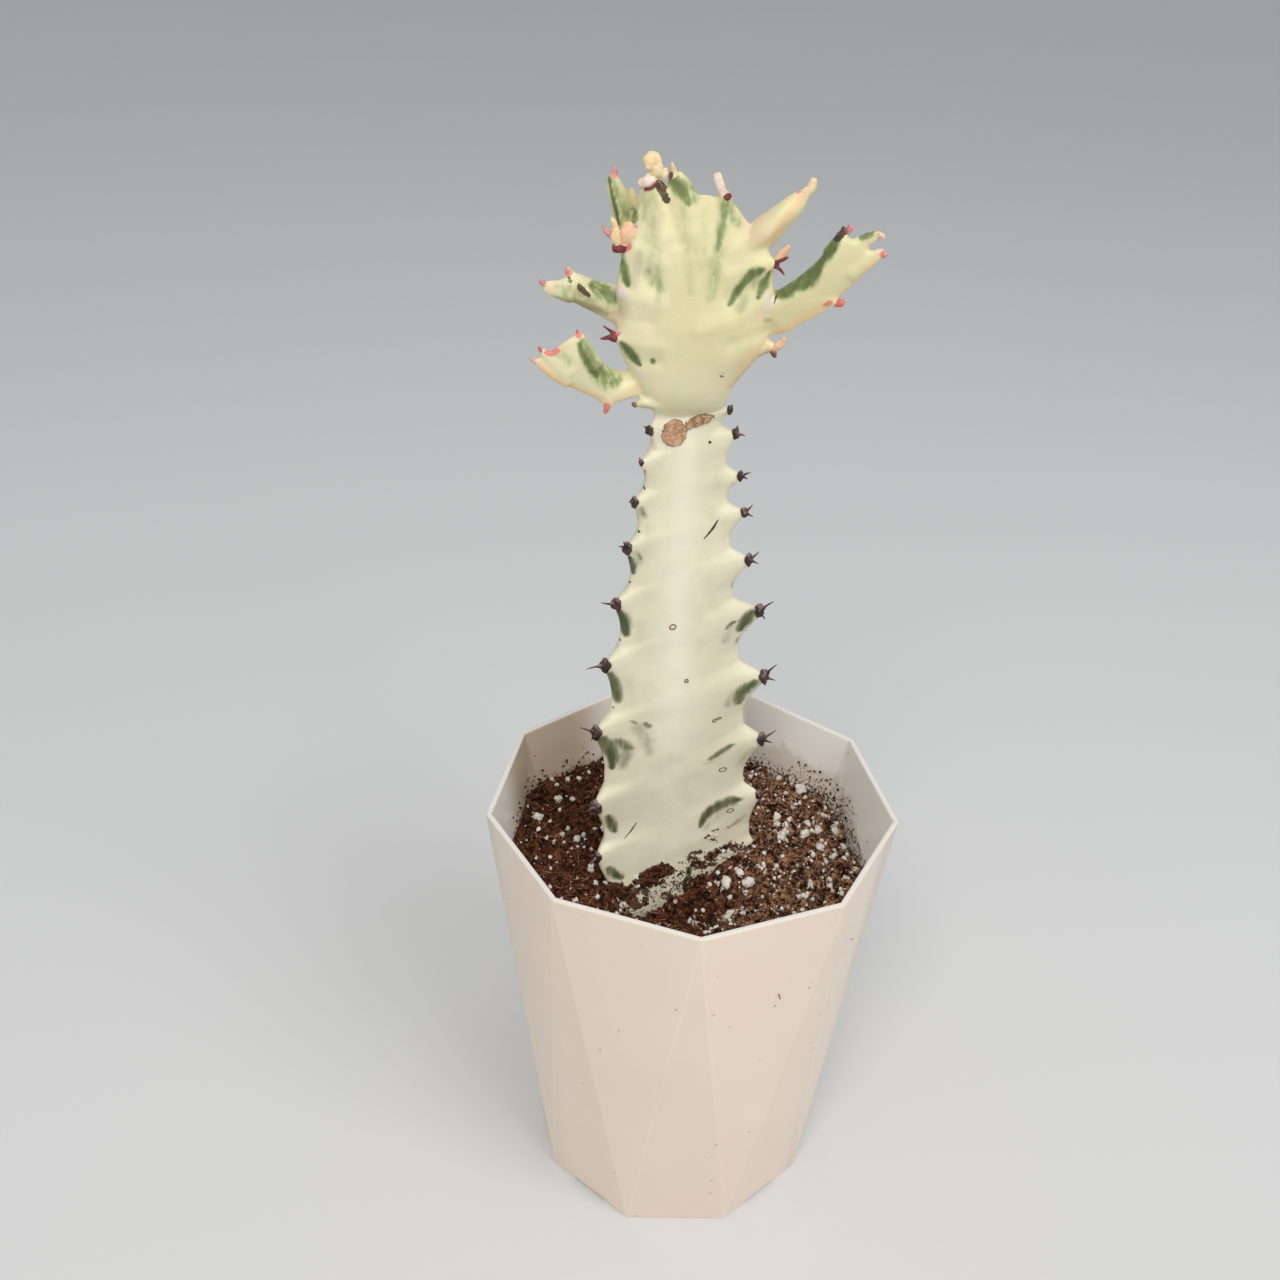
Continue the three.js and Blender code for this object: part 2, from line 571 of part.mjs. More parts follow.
function soilHeight(x, y) {
  const alongX = Math.sin(BROAD_WAVE.perMm[0] * x + BROAD_WAVE.shift[0]);
  const alongY = Math.cos(BROAD_WAVE.perMm[1] * y + BROAD_WAVE.shift[1]);
  const fine = FINE_WAVE.share * Math.sin(FINE_WAVE.perMm[0] * x + FINE_WAVE.perMm[1] * y);
  const lumps = BROAD_WAVE.share * alongX * alongY + fine;
  const across = (x - DIP_CENTRE[0]) / DIP_REACH[0];
  const ahead = (y - DIP_CENTRE[1]) / DIP_REACH[1];
  const dip = Math.exp(-(across ** 2) - ahead ** 2);
  return SOIL_LEVEL + SOIL_SLOPE_X * x + SOIL_SLOPE_Y * y + SOIL_LUMP * lumps - DIP_DEPTH * dip;
}

function makeSoil() {
  const span = 2 * (RIM_RADIUS + CUT_MARGIN);
  const slab = new THREE.BoxGeometry(span, span, SOIL_LEVEL, SOIL_CELLS, SOIL_CELLS, 1);
  const position = slab.attributes.position;
  for (let i = 0; i < position.count; i += 1) {
    const atTop = position.getZ(i) > 0;
    position.setZ(i, atTop ? soilHeight(position.getX(i), position.getY(i)) : 0);
  }
  const draw = seededDraw(GRAIN_SEED);
  const parts = [solidOf(slab)];
  for (let grain = 0; grain < GRAIN_COUNT; grain += 1) {
    const angle = draw() * 2 * Math.PI;
    const distance = Math.sqrt(draw()) * (RIM_RADIUS - 2 * GRAIN_RADIUS[1]);
    const radius = THREE.MathUtils.lerp(GRAIN_RADIUS[0], GRAIN_RADIUS[1], draw() ** 2);
    const [x, y] = [distance * Math.cos(angle), distance * Math.sin(angle)];
    parts.push(bead([x, y, soilHeight(x, y) + radius * (1 - 2 * GRAIN_SUNK)], radius));
  }
  return largest(fuse(parts).intersect(potInside(CLEARANCE)).subtract(stemBody(CLEARANCE, true)));
}

const group = new THREE.Group();
group.position.y = BOX_CENTRE_SHIFT;

function addNode(name, solid) {
  const [color, roughness] = FINISHES[name];
  const material = new THREE.MeshStandardMaterial({ color, roughness, metalness: 0 });
  const mesh = new THREE.Mesh(geometryOf(solid), material);
  mesh.name = name;
  group.add(mesh);
}

const headFeatures = HEAD_FEATURES.map((item) => feature(item, CLEARANCE));
const headCut = fuse([stemBody(CLEARANCE, false), ...headFeatures]);
addNode('pot', makePot());
addNode('soil', makeSoil());
addNode('main_stem', makeStem());
Object.entries(BRANCHES).forEach(([name, branch]) => addNode(name, makeBranch(branch, headCut)));

export default group;
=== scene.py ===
"""Looks of a white ghost euphorbia in a faceted pot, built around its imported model."""
import math

import bmesh
import bpy
import numpy as np
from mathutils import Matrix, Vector


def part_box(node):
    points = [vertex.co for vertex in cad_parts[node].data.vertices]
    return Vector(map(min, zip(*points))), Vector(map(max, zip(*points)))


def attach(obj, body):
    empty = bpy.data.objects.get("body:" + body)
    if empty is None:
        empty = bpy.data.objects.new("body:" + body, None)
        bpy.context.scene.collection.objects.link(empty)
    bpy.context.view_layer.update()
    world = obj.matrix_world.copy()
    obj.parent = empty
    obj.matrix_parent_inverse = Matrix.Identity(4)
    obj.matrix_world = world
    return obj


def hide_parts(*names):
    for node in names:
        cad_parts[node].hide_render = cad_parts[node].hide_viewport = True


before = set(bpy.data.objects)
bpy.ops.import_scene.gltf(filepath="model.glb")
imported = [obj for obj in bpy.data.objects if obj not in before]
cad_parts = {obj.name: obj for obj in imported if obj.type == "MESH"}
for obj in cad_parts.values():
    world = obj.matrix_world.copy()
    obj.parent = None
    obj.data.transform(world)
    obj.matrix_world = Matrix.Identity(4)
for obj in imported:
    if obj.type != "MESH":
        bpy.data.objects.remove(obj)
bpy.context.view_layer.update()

bl_info = {
    "name": "Potted ghost euphorbia",
    "version": (1, 0, 0),
    "blender": (4, 5, 0),
    "location": "3D View > Sidebar > Euphorbia",
    "description": "Builds the pot, the soil and the plant in detail around the packed model",
    "category": "Add Mesh",
}

MM = 0.001
BODY = "root"
SEED = 4127

# All numbers down to the marks are in millimetres from the pot's axis, which stands a little
# behind the origin.
AXIS_SHIFT = 1.583

POT_SIDES = 9
HALF_SIDE = math.pi / POT_SIDES
RIM_RADIUS = 52.5
FOOT_RADIUS = 39.6
POT_WALL = 1.4
WALL_INSET = POT_WALL / math.cos(HALF_SIDE)
CREASE = 0.4
CREASE_DEGREES = 8
FLOOR_TOP = 4.0
FOOT_BAND = 3.7
FOOT_RECESS = 2
DRAIN_HOLES = 6
DRAIN_RING = 21
DRAIN_RADIUS = 3
DRAIN_DEPTH = 12
NOTCHED_SIDES = (1, 2, 4, 5, 7, 8)
NOTCH_REACH = 37.2
NOTCH_SIZE = (12, 11, 1.8)

SOIL_LEVEL = 97.0
SOIL_GAP = 0.3
SOIL_CUTS = 69
# Dips in the soil: x, y, half widths across and from front to back, depth.
SOIL_DIPS = ((-3, -12, 14, 8, 14), (-13.5, -13, 4.5, 4, 4.5), (2.5, -4, 5, 4, 2.8))
SPOT_INSET = 1.9
# Dirt inside the pot's wall: its height and its bearings in radians.
DIRT_LINE = 98.0
DIRT_RIGHT = 0.75
DIRT_LEFT = 2.5
SPLASHES = (2.3, 2.65, 0.75, 0.5, 2.95)
WALL_CRUMBS = 300
FOOT_CRUMBS = 260
BURIED_TO = 85

# Each rib's edge in the valleys between its teeth is height, x, y. Its teeth run from the top down.
RIBS = (
    {
        "edge": (
            (64, -8, 0), (76, -12, -6), (86, -15, -11), (98, -21, -9.5), (112, -22, -7),
            (135, -22, -5.5), (165, -19.6, -3), (193, -16, -1.5), (212, -13.8, 0),
            (220, -12.8, 0.5), (228, -16.5, -2), (238, -21, -3), (250, -21.5, -3), (260, -20, -2),
            (266, -17.5, -1), (269, -16.5, 0),
        ),
        "top": 268.3,
        "heights": (218, 211, 202, 191, 177, 161, 143, 121, 106, 90),
        "reach": (2, 2.5, 2.8, 3, 3.2, 3.6, 4, 3, 2.5, 0),
    },
    {
        "edge": (
            (64, 0, 3), (76, 3, 3), (86, 7, 2), (98, 16, 5), (120, 13.7, 5), (139, 12.2, 4.8),
            (160, 9.5, 4.7), (177, 7, 4.6), (200, 4.2, 4.6), (212, 3, 4.5), (220, 1.8, 4.3),
            (228, 3.5, 1), (238, 9, -2), (250, 9.8, -2), (257, 8.5, -1.5), (262, 4.5, -0.5),
            (267.5, 0, 0.5),
        ),
        "top": 267,
        "heights": (221.5, 216, 206, 197, 185, 171.5, 153, 134, 116, 99),
        "reach": (1.5, 2.7, 3.1, 3.7, 4.1, 5.5, 5.6, 4.3, 3.5, 1.5),
    },
    {
        "edge": (
            (64, -6, 9), (76, -8, 15), (87, -10, 20), (98, -12.5, 25), (112, -13, 26),
            (135, -12.5, 25), (165, -11.8, 22.5), (193, -10.5, 19), (212, -9.3, 15.5),
            (220, -8.8, 13.5), (228, -8, 16), (238, -7, 20), (250, -7.5, 17), (257, -8.5, 12),
            (262, -10, 6.5),
        ),
        "top": 261,
        "heights": (220, 213.5, 204, 194, 181, 166, 148, 128, 111, 95),
        "reach": (1.8, 2.6, 3, 3.4, 3.8, 4.6, 4.8, 3.8, 3, 0),
    },
)
# How far the faces between the ribs bulge: height and bulge.
FACE_BULGE = (
    (64, 0.6), (92, 0.8), (101, 1.5), (200, 1.5), (218, 1.2), (220.5, 0.6), (223.5, 2.6),
    (227, 3.2), (236, 3.5), (250, 3), (262, 1.5), (268, 0.8),
)
# Heights along the plant, and the shape of the old stem's teeth.
STEM_FOOT = 64
NECK_TOP = 223.5
NECK_INDEX = -0.8
HEAD_FOOT = 219.6
HEAD_ROWS = 110
BRANCH_ROWS = 48
ROW_SPACING = 0.36
TIP_BLUNT = 0.07
UNDERSIDE_SHARE = 0.5
UNDERSIDE_HOLLOW = 1.45
TOP_SIDE = (0.78, 0.96)
TOOTH_SPREAD = 7.0
TOOTH_BLUR = 1.3
TOOTH_GAIN = 1.08
FACE_ROUNDNESS = 0.55

# The corky scar on the neck: a disc and a strip beside it, each with its middle and half sizes.
SCAR_AT = (-8.8, 217.2)
SCAR_SIZE = (2.6, 2.95)
SCAR_POWER = 2.2
STRIP_AT = (-3.6, 219.5)
STRIP_SIZE = (4.6, 1.7)
STRIP_RISE = 0.22
STRIP_TAPER = 0.08

# Branches: how far their faces bulge, and the three long edges of each from its joint to its tip.
BRANCHES = {
    "branch_lower_left": {
        "edges": (
            ((-13, 1, 226), (-17.5, -2, 226), (-21, -3.5, 225.3), (-23.5, -4, 224.4),
             (-25.7, -4, 226), (-32, -4.5, 229), (-35.2, -5, 231), (-38, -6, 235)),
            ((-14, 4, 231.5), (-19.5, 0.5, 231), (-22.5, -1, 232), (-25, -2, 234),
             (-26.8, -2.8, 236.8), (-29.3, -4.6, 240.6)),
            ((-14, -0.5, 230), (-20, -4, 229), (-23.5, -5.5, 229.5), (-26, -6, 232),
             (-28, -6.5, 235.5), (-30, -6, 240.6)),
        ),
        "bulge": 0.8,
    },
    "branch_mid_left": {
        "edges": (
            ((-16, 2, 240.5), (-22.6, -1, 241.6), (-26, -2, 243.5), (-29.5, -3, 245.5),
             (-33, -3.6, 247.4), (-36.2, -4.5, 249.8)),
            ((-16, 5, 248), (-22.5, 1.2, 249.4), (-27, 0, 250.4), (-30.5, -1.2, 251.9),
             (-33.2, -3, 250.8), (-36, -4, 250.6)),
            ((-16, -1, 245), (-22.8, -3.5, 245.4), (-26.5, -4.5, 248), (-30, -5, 250.4),
             (-33.4, -5, 250.2), (-36, -5, 250.2)),
        ),
        "bulge": 0.6,
    },
    "branch_upper_left": {
        "edges": (
            ((-18, 9, 255), (-22, 7, 259.5), (-23.2, 6.5, 263.5), (-24.1, 5.6, 268.2),
             (-23.4, 5, 270)),
            ((-13.5, 6, 257), (-18, 4.4, 262.5), (-19.4, 4.2, 265.5), (-21, 4.4, 268),
             (-22.6, 4.8, 270)),
            ((-18, 3.2, 255.5), (-21.5, 3, 260.5), (-22.8, 2.6, 264.5), (-23.8, 3.4, 267.8),
             (-23.3, 4.4, 270)),
        ),
        "bulge": 0.5,
    },
    "branch_upper_right": {
        "edges": (
            ((4, 6, 252), (9.5, 2.6, 257.4), (12.5, 1.6, 261.6), (14.4, 0.8, 264.8),
             (15.2, 0, 267.6)),
            ((1, -1, 254), (6.2, -3.6, 260), (9.8, -3.2, 263.6), (12.6, -2.2, 266),
             (14.5, -1, 268)),
            ((0, 4, 256.5), (4.5, 2.6, 261.6), (9, 1.6, 265.2), (12.2, 0.8, 267.8), (14.3, 0, 269)),
        ),
        "bulge": 1,
    },
    "branch_right": {
        "edges": (
            ((2, 3, 240), (8.5, 0, 239.4), (13, -2, 240.6), (16.5, -3, 243.2), (20, -3.6, 245.5),
             (23, -4, 249), (26.4, -4.5, 252.6), (30, -5, 257)),
            ((3, -1, 246), (10.5, -3.4, 247.4), (15.5, -5, 251.4), (19, -6, 255.4), (21, -6, 259),
             (23, -5.6, 261.2)),
            ((3, 6, 247), (10.5, 1, 248.4), (15, -0.5, 251.8), (19.5, -1.5, 256.6),
             (21.2, -2, 259.2), (23, -3, 261.6)),
        ),
        "bulge": 0.9,
    },
}

# Horns and teeth that grow out of the head and its branches, as points of x, y, z, half width and
# half depth.
HORNS = (
    ((-15.4, 3, 258, 4.2, 4), (-15.6, 1.5, 264, 3.1, 3), (-15.7, 0.4, 268, 2.2, 1.9),
     (-15.5, 0.2, 270.8, 1.5, 1.2)),
    ((-8.5, 3, 258, 4.6, 4), (-9.2, 1.6, 264, 4, 2.8), (-10, 0.6, 268.4, 3, 1.6),
     (-10.9, 0.2, 271.2, 1.5, 0.9)),
    ((-2.2, 3, 257, 4.4, 4), (-1.4, 1.5, 262.5, 3.2, 2.8), (-0.9, 0, 266.6, 1.5, 1.5),
     (-0.8, -0.5, 268.2, 0.8, 0.8)),
    ((-17.5, 0.5, 254, 3.2, 3), (-19.6, -0.8, 257, 2.2, 1.9), (-21.4, -1.4, 258.9, 1.2, 1.1)),
    ((-17, 0, 236, 3, 3), (-20.2, -2.4, 238.6, 1.8, 1.7), (-22.4, -3.4, 239.6, 0.8, 0.8)),
    ((-12, 0, 225, 2.4, 2.4), (-15.4, -2, 224.8, 1.2, 1.2), (-17.6, -3, 224.8, 0.6, 0.6)),
    ((5, 1, 254, 3, 3), (8, -1, 254.8, 1.6, 1.5), (9.9, -2.2, 255, 0.7, 0.7)),
    ((6, 1, 236.5, 3, 3), (9.4, -1.2, 237.6, 1.7, 1.5), (11.4, -2.2, 237.8, 0.8, 0.8)),
    ((-26.5, -5, 233.6, 2.2, 1.8), (-28.4, -5.2, 237.8, 1.4, 1.2), (-29.6, -5.2, 240.8, 0.7, 0.6)),
    ((-31.5, -5.4, 232.2, 2.4, 1.5), (-34.8, -5.6, 234.9, 1.5, 1), (-37, -5.9, 237, 0.7, 0.6)),
    ((-31.5, -5, 230.6, 2, 1.4), (-35.4, -5.4, 232.6, 1.3, 1), (-38.4, -6, 234.8, 0.7, 0.6)),
    ((-22.5, -3.2, 228, 2.6, 2), (-23.2, -3.8, 225.4, 1.5, 1.2), (-23.6, -4, 223.8, 0.7, 0.6)),
    ((-28.6, -2.4, 248.4, 1.8, 1.6), (-30.4, -2.6, 250.9, 1.1, 1), (-31.9, -2.7, 253, 0.6, 0.6)),
    ((-31, -4, 248.2, 2.1, 1.4), (-34.2, -4.3, 249, 1.6, 1.1), (-36.4, -4.6, 249.8, 1.1, 0.7)),
    ((-22.4, 4.8, 266.6, 1.3, 1.2), (-22.9, 4.9, 269.2, 0.8, 0.7), (-22.9, 4.9, 270.4, 0.45, 0.45)),
    ((12, 0, 265.2, 1.9, 1.6), (14, -0.3, 267.5, 1.4, 1.1), (15.4, -0.5, 269, 0.9, 0.8)),
    ((20.6, -3.9, 257.6, 2, 1.5), (22, -4, 260.6, 1.3, 1.1), (22.8, -4, 262.2, 0.8, 0.7)),
    ((22.5, -4.3, 257, 2.4, 1.8), (25.6, -4.5, 259.4, 1.9, 1.2), (28.2, -4.5, 261.4, 1.2, 0.8),
     (29.8, -4.8, 262, 0.7, 0.5)),
    ((24.4, -4.6, 254.4, 2.2, 1.7), (28.2, -5, 257.2, 1.6, 1.2), (30.6, -5.2, 258.9, 0.8, 0.6)),
    ((19.4, -3.6, 249.2, 2.2, 1.7), (21.8, -4, 248.4, 1.3, 1.1), (23.3, -4.2, 247.9, 0.7, 0.7)),
)

# Buds, lobes and leaflets that sit on the teeth, by colour, as the same kind of points.
BUDS = {
    "butter": (
        ((-15.7, 0.9, 271.9, 1.2, 0.5), (-15.5, 1.3, 273.4, 1.95, 0.75),
         (-15.3, 1.6, 274.9, 1, 0.4)),
        ((-21.6, -2, 257.9, 1, 0.7), (-22.1, -2.1, 259.4, 1.35, 0.8), (-22.6, -1.9, 261, 0.6, 0.4)),
        ((-22.2, -1.2, 260.6, 0.6, 0.4), (-22.9, -1.2, 261.9, 0.65, 0.4),
         (-23.2, -1, 262.8, 0.3, 0.2)),
    ),
    "cream": (
        ((-15.2, -0.3, 271, 0.9, 0.6), (-14.5, -0.4, 272, 1.45, 0.9), (-14.1, -0.2, 273, 0.7, 0.5)),
        ((-13.2, -0.2, 270.4, 0.7, 0.5), (-13.1, -0.3, 271.4, 1, 0.6),
         (-12.9, -0.2, 272.2, 0.5, 0.4)),
        ((-11, 0, 270.6, 0.95, 0.6), (-11.4, 0, 272, 0.6, 0.5), (-11.7, 0, 273.3, 0.3, 0.25)),
        ((-19.1, 5.4, 261, 1.1, 0.7), (-19, 5.4, 264, 1.25, 0.6), (-19.6, 5.4, 267, 0.5, 0.3)),
        ((15.2, -0.6, 268.5, 0.8, 0.6), (15.9, -0.6, 269.9, 0.95, 0.6),
         (16.2, -0.5, 271.3, 0.6, 0.35)),
        ((14.2, -0.7, 268.6, 0.6, 0.5), (14.9, -0.8, 269.4, 0.5, 0.4)),
    ),
    "petal": (
        ((-17.9, -0.4, 269.4, 0.8, 0.6), (-16.5, -0.8, 269.7, 1.2, 1),
         (-15, -0.9, 270.2, 0.8, 0.7)),
        ((-1.2, -0.8, 267.4, 0.75, 0.5), (-2.1, -0.8, 269.6, 0.9, 0.5),
         (-2.9, -0.5, 271.7, 0.75, 0.35)),
    ),
    "blush": (
        ((-38.2, -6, 234.6, 0.6, 0.5), (-39.2, -6.2, 235.3, 0.4, 0.35)),
        ((29.2, -4.7, 261.6, 0.55, 0.45), (30, -4.9, 261.9, 0.5, 0.4),
         (30.4, -5, 261.4, 0.3, 0.25)),
    ),
    "peach": (
        ((-20.6, -2.1, 257.8, 1.2, 0.8), (-20, -2.3, 260, 1.75, 0.9),
         (-19.9, -1.9, 262.1, 0.9, 0.4)),
        ((9.7, -2, 255.5, 0.6, 0.5), (11, -2.4, 257, 0.9, 0.5), (12.2, -2.7, 258.7, 0.4, 0.3)),
        ((10.9, -2.2, 237.4, 0.7, 0.6), (12.1, -2.6, 238.5, 0.85, 0.6),
         (12.9, -2.9, 239.9, 0.4, 0.3)),
    ),
    "rose": (
        ((-23, -1.6, 259.2, 0.5, 0.4), (-24.2, -1.8, 260.2, 0.55, 0.4),
         (-24.8, -1.8, 261.2, 0.25, 0.2)),
        ((-18.2, -1.9, 261.2, 0.4, 0.35), (-17.9, -2, 261.7, 0.4, 0.35)),
        ((-21.4, -3.7, 239.9, 0.5, 0.4), (-21.2, -3.8, 240.6, 0.4, 0.3)),
        ((-29.4, -5.2, 240.1, 0.6, 0.5), (-29.6, -5.3, 240.8, 0.45, 0.4),
         (-29.8, -5.3, 241.4, 0.18, 0.15)),
        ((-31.5, -2.7, 251.9, 0.75, 0.6), (-31.9, -2.7, 252.6, 0.55, 0.5),
         (-32.3, -2.7, 253.1, 0.22, 0.2)),
        ((-36.6, -4.5, 250.2, 0.6, 0.5), (-37.2, -4.6, 250.9, 0.4, 0.35)),
        ((-37, -5.9, 236.8, 0.5, 0.45), (-37.6, -6, 237.7, 0.35, 0.3)),
        ((-22.9, 4.9, 269.8, 0.6, 0.5), (-22.8, 4.9, 270.8, 0.45, 0.4),
         (-22.8, 4.9, 271.6, 0.15, 0.15)),
        ((23.2, -4, 262, 0.6, 0.5), (23.7, -4, 262.8, 0.65, 0.5), (23.7, -4, 263.5, 0.25, 0.2)),
        ((30.6, -5.2, 257.9, 0.6, 0.5), (31.2, -5.3, 258.4, 0.5, 0.4)),
    ),
    "coral": (
        ((-23.5, -4, 224, 0.65, 0.55), (-23.8, -4.1, 223.2, 0.4, 0.35)),
        ((22.2, -4, 248.2, 0.9, 0.8), (23.4, -4.2, 248, 0.9, 0.8), (24, -4.3, 248.4, 0.4, 0.35)),
    ),
    "garnet": (
        ((-16.9, -1.4, 268.5, 0.2, 0.3), (-15.4, -1.7, 269, 0.3, 0.35),
         (-14.3, -1.3, 270.3, 0.2, 0.2)),
        ((-0.9, -1, 267.2, 0.85, 0.6), (-0.1, -1.1, 267.8, 0.5, 0.45)),
        ((-22.6, -1.7, 257, 0.9, 0.8), (-21, -2.2, 257.3, 1.1, 0.8),
         (-19.8, -2.3, 257.9, 0.6, 0.5)),
        ((-22, -3.6, 239.2, 0.9, 0.8), (-23.2, -3.9, 239.4, 0.6, 0.5),
         (-25, -4.1, 239.2, 0.15, 0.15)),
        ((-22.2, -3.4, 239.9, 0.6, 0.5), (-23.2, -3.8, 240.9, 0.35, 0.3),
         (-24.4, -4, 241.8, 0.12, 0.12)),
        ((9.6, -2.2, 254.6, 0.8, 0.7), (10.2, -2.5, 255.4, 0.6, 0.5)),
        ((9.8, -2.3, 255.2, 0.4, 0.4), (11.6, -2.9, 256.2, 0.3, 0.3),
         (12.2, -3, 256.6, 0.12, 0.12)),
        ((9.8, -2.3, 254.7, 0.4, 0.4), (11, -2.8, 253.8, 0.3, 0.3), (11.7, -3, 253, 0.12, 0.12)),
        ((-31.7, -3.5, 250.5, 0.5, 0.4), (-31.4, -3.6, 251.3, 0.55, 0.4)),
    ),
    "thorn": (
        ((-11.9, -0.5, 270.9, 0.5, 0.4), (-11.8, -0.6, 271.6, 0.4, 0.35)),
        ((-17.4, -3, 224.6, 0.6, 0.5), (-18, -3.2, 224.9, 0.45, 0.4)),
        ((10.8, -2.3, 236.8, 0.7, 0.6), (11.3, -2.4, 235.8, 0.4, 0.4)),
        ((22, -4, 261.2, 0.9, 0.8), (22.6, -4.2, 262.2, 0.8, 0.7), (22.3, -4.3, 263, 0.35, 0.3)),
    ),
    "bark": (
        ((-14.2, 0.4, 269.4, 0.8, 0.7), (-13.4, 0.3, 268, 1.2, 0.8), (-12.8, 0.1, 266.8, 1, 0.7)),
    ),
}

# Soft ridges and hollows on the front of the head: height, half width, then points along them.
RELIEF = (
    (0.5, 1.5, ((-1.6, -1.2, 265.9), (-2.9, -2.6, 261), (-3.6, -4.1, 256.8))),
    (0.6, 2, ((10.8, -2.2, 265.5), (3.4, -1.9, 259.8), (-2.5, -4.3, 255.5))),
    (0.6, 1.5, ((8.3, -2.3, 255.1), (4.3, -3.3, 254.3), (0.3, -4.5, 252.9))),
    (0.7, 2, ((8, -2.8, 247.8), (2.2, -4.9, 244.5), (-4.8, -6, 242.2))),
    (0.6, 1.8, ((-20.9, -3.2, 248.7), (-17.2, -4.4, 247.9), (-13.1, -5.3, 247.1))),
    (0.5, 1.4, ((-20.2, -3.5, 239.3), (-16.9, -4.4, 238.6), (-12.8, -5.4, 238.4))),
    (0.6, 1.5, ((-15.8, -0.9, 267.1), (-14.5, -1.9, 263.8), (-12.8, -3.2, 259.7))),
    (0.5, 1.5, ((-9.6, -1.1, 268.5), (-8.2, -1.8, 264.5), (-7.3, -3, 260.9))),
    (0.5, 1.4, ((-19.1, -2.5, 257.8), (-16.5, -3.4, 256.5), (-13.4, -4.2, 254.6))),
    (-0.6, 1.2, ((-12.2, -1.5, 265.7), (-11.3, -2.5, 262.6), (-10.4, -3.5, 259))),
    (-0.4, 1.6, ((-4.9, -1, 266), (-5, -2.4, 262.2), (-5.6, -3.9, 257.7))),
    (-0.6, 1.4, ((2.7, -1.2, 261.6), (1.2, -2.6, 259.2), (-0.7, -3.9, 256.3))),
    (-0.8, 1.6, ((7.4, -2.8, 251), (3.9, -4, 250), (0.5, -5, 248.6))),
    (-0.6, 1.6, ((9.4, -2.4, 241.4), (5.6, -3.8, 240.5), (1.6, -5, 238.9))),
    (-0.7, 1.6, ((-19.8, -3.1, 253.5), (-17.3, -3.9, 252.6), (-14.5, -4.6, 251.3))),
    (-0.5, 1.4, ((-21.1, -3.3, 243.4), (-18.3, -4.2, 243.3), (-15, -5.1, 243))),
    (-0.6, 1.4, ((-18, -3.4, 234.6), (-15.8, -4.3, 234.8), (-13.1, -4.9, 234.8))),
)

# Radius of the knob on each tooth, from the top down.
KNOB_SIZES = (
    (0.9, 0.6, 0.95, 1.1, 1.2, 1.4, 1.5, 1.45, 1.1, 0),
    (0.8, 0.95, 0.85, 1, 1.1, 1.3, 1.4, 1.25, 1.1, 0),
    (0.8, 0.9, 0.9, 1, 1.1, 1.2, 1.3, 1.3, 1.1, 0),
)

# Old thorns: how far up each tilts in degrees and its length, for every knob from the top down.
THORNS = (
    (((40, 1.2),), ((70, 0.9),), ((20, 1.3),), ((51, 2.6), (26, 2.1)), ((19, 3.3), (60, 1.2)),
     ((5, 4.2), (50, 1.2)), ((38, 6), (-40, 1.2)), ((3, 2.2),), ((4, 2.7),), ()),
    (((70, 1),), ((80, 1.3), (-5, 1.5)), ((25, 1.9), (-25, 1.3)), ((51, 2.1), (-20, 1.5)),
     ((45, 2.4), (-15, 1.7)), ((42, 3.7), (-45, 1.6)), ((56, 4.5), (-10, 2), (-75, 1.6)),
     ((40, 3.6), (-8, 2.2), (-70, 1.4)), ((-35, 1.6),), ()),
    (((40, 1.2),), ((60, 1.4),), ((30, 1.9), (-20, 1.5)), ((35, 2.2), (-15, 1.9)),
     ((40, 2.6), (-30, 1.6)), ((35, 3.4), (-12, 2.2)), ((30, 3.8), (-40, 1.7)), ((30, 3), (-20, 2)),
     ((20, 1.8),), ()),
)

# Old ring-shaped scars on the stem: place, half width, half height.
RING_SCARS = (
    ((-7.1, -1, 169.3), 0.75, 0.62), ((-3.2, -0.4, 154.1), 0.42, 0.38),
    ((4.5, 1.6, 141.3), 0.5, 0.42), ((5.7, 2, 141.7), 0.42, 0.3), ((7.5, 2, 126), 0.95, 0.62),
    ((10.3, 2.1, 112.8), 0.9, 0.6),
)
RING_THICKNESS = 0.17

# Thin cracks in the skin of the old stem: x, z and half width along each.
CRACKS = (
    ((-13.9, 114.2, 0.1), (-15.2, 112.2, 0.22), (-15.4, 111.8, 0.18), (-17, 109.9, 0.08)),
    ((2.2, 195.8, 0.12), (1.1, 194, 0.4), (0.1, 192.5, 0.3), (-0.9, 191.1, 0.1)),
)
CRACK_DEPTH = 0.05

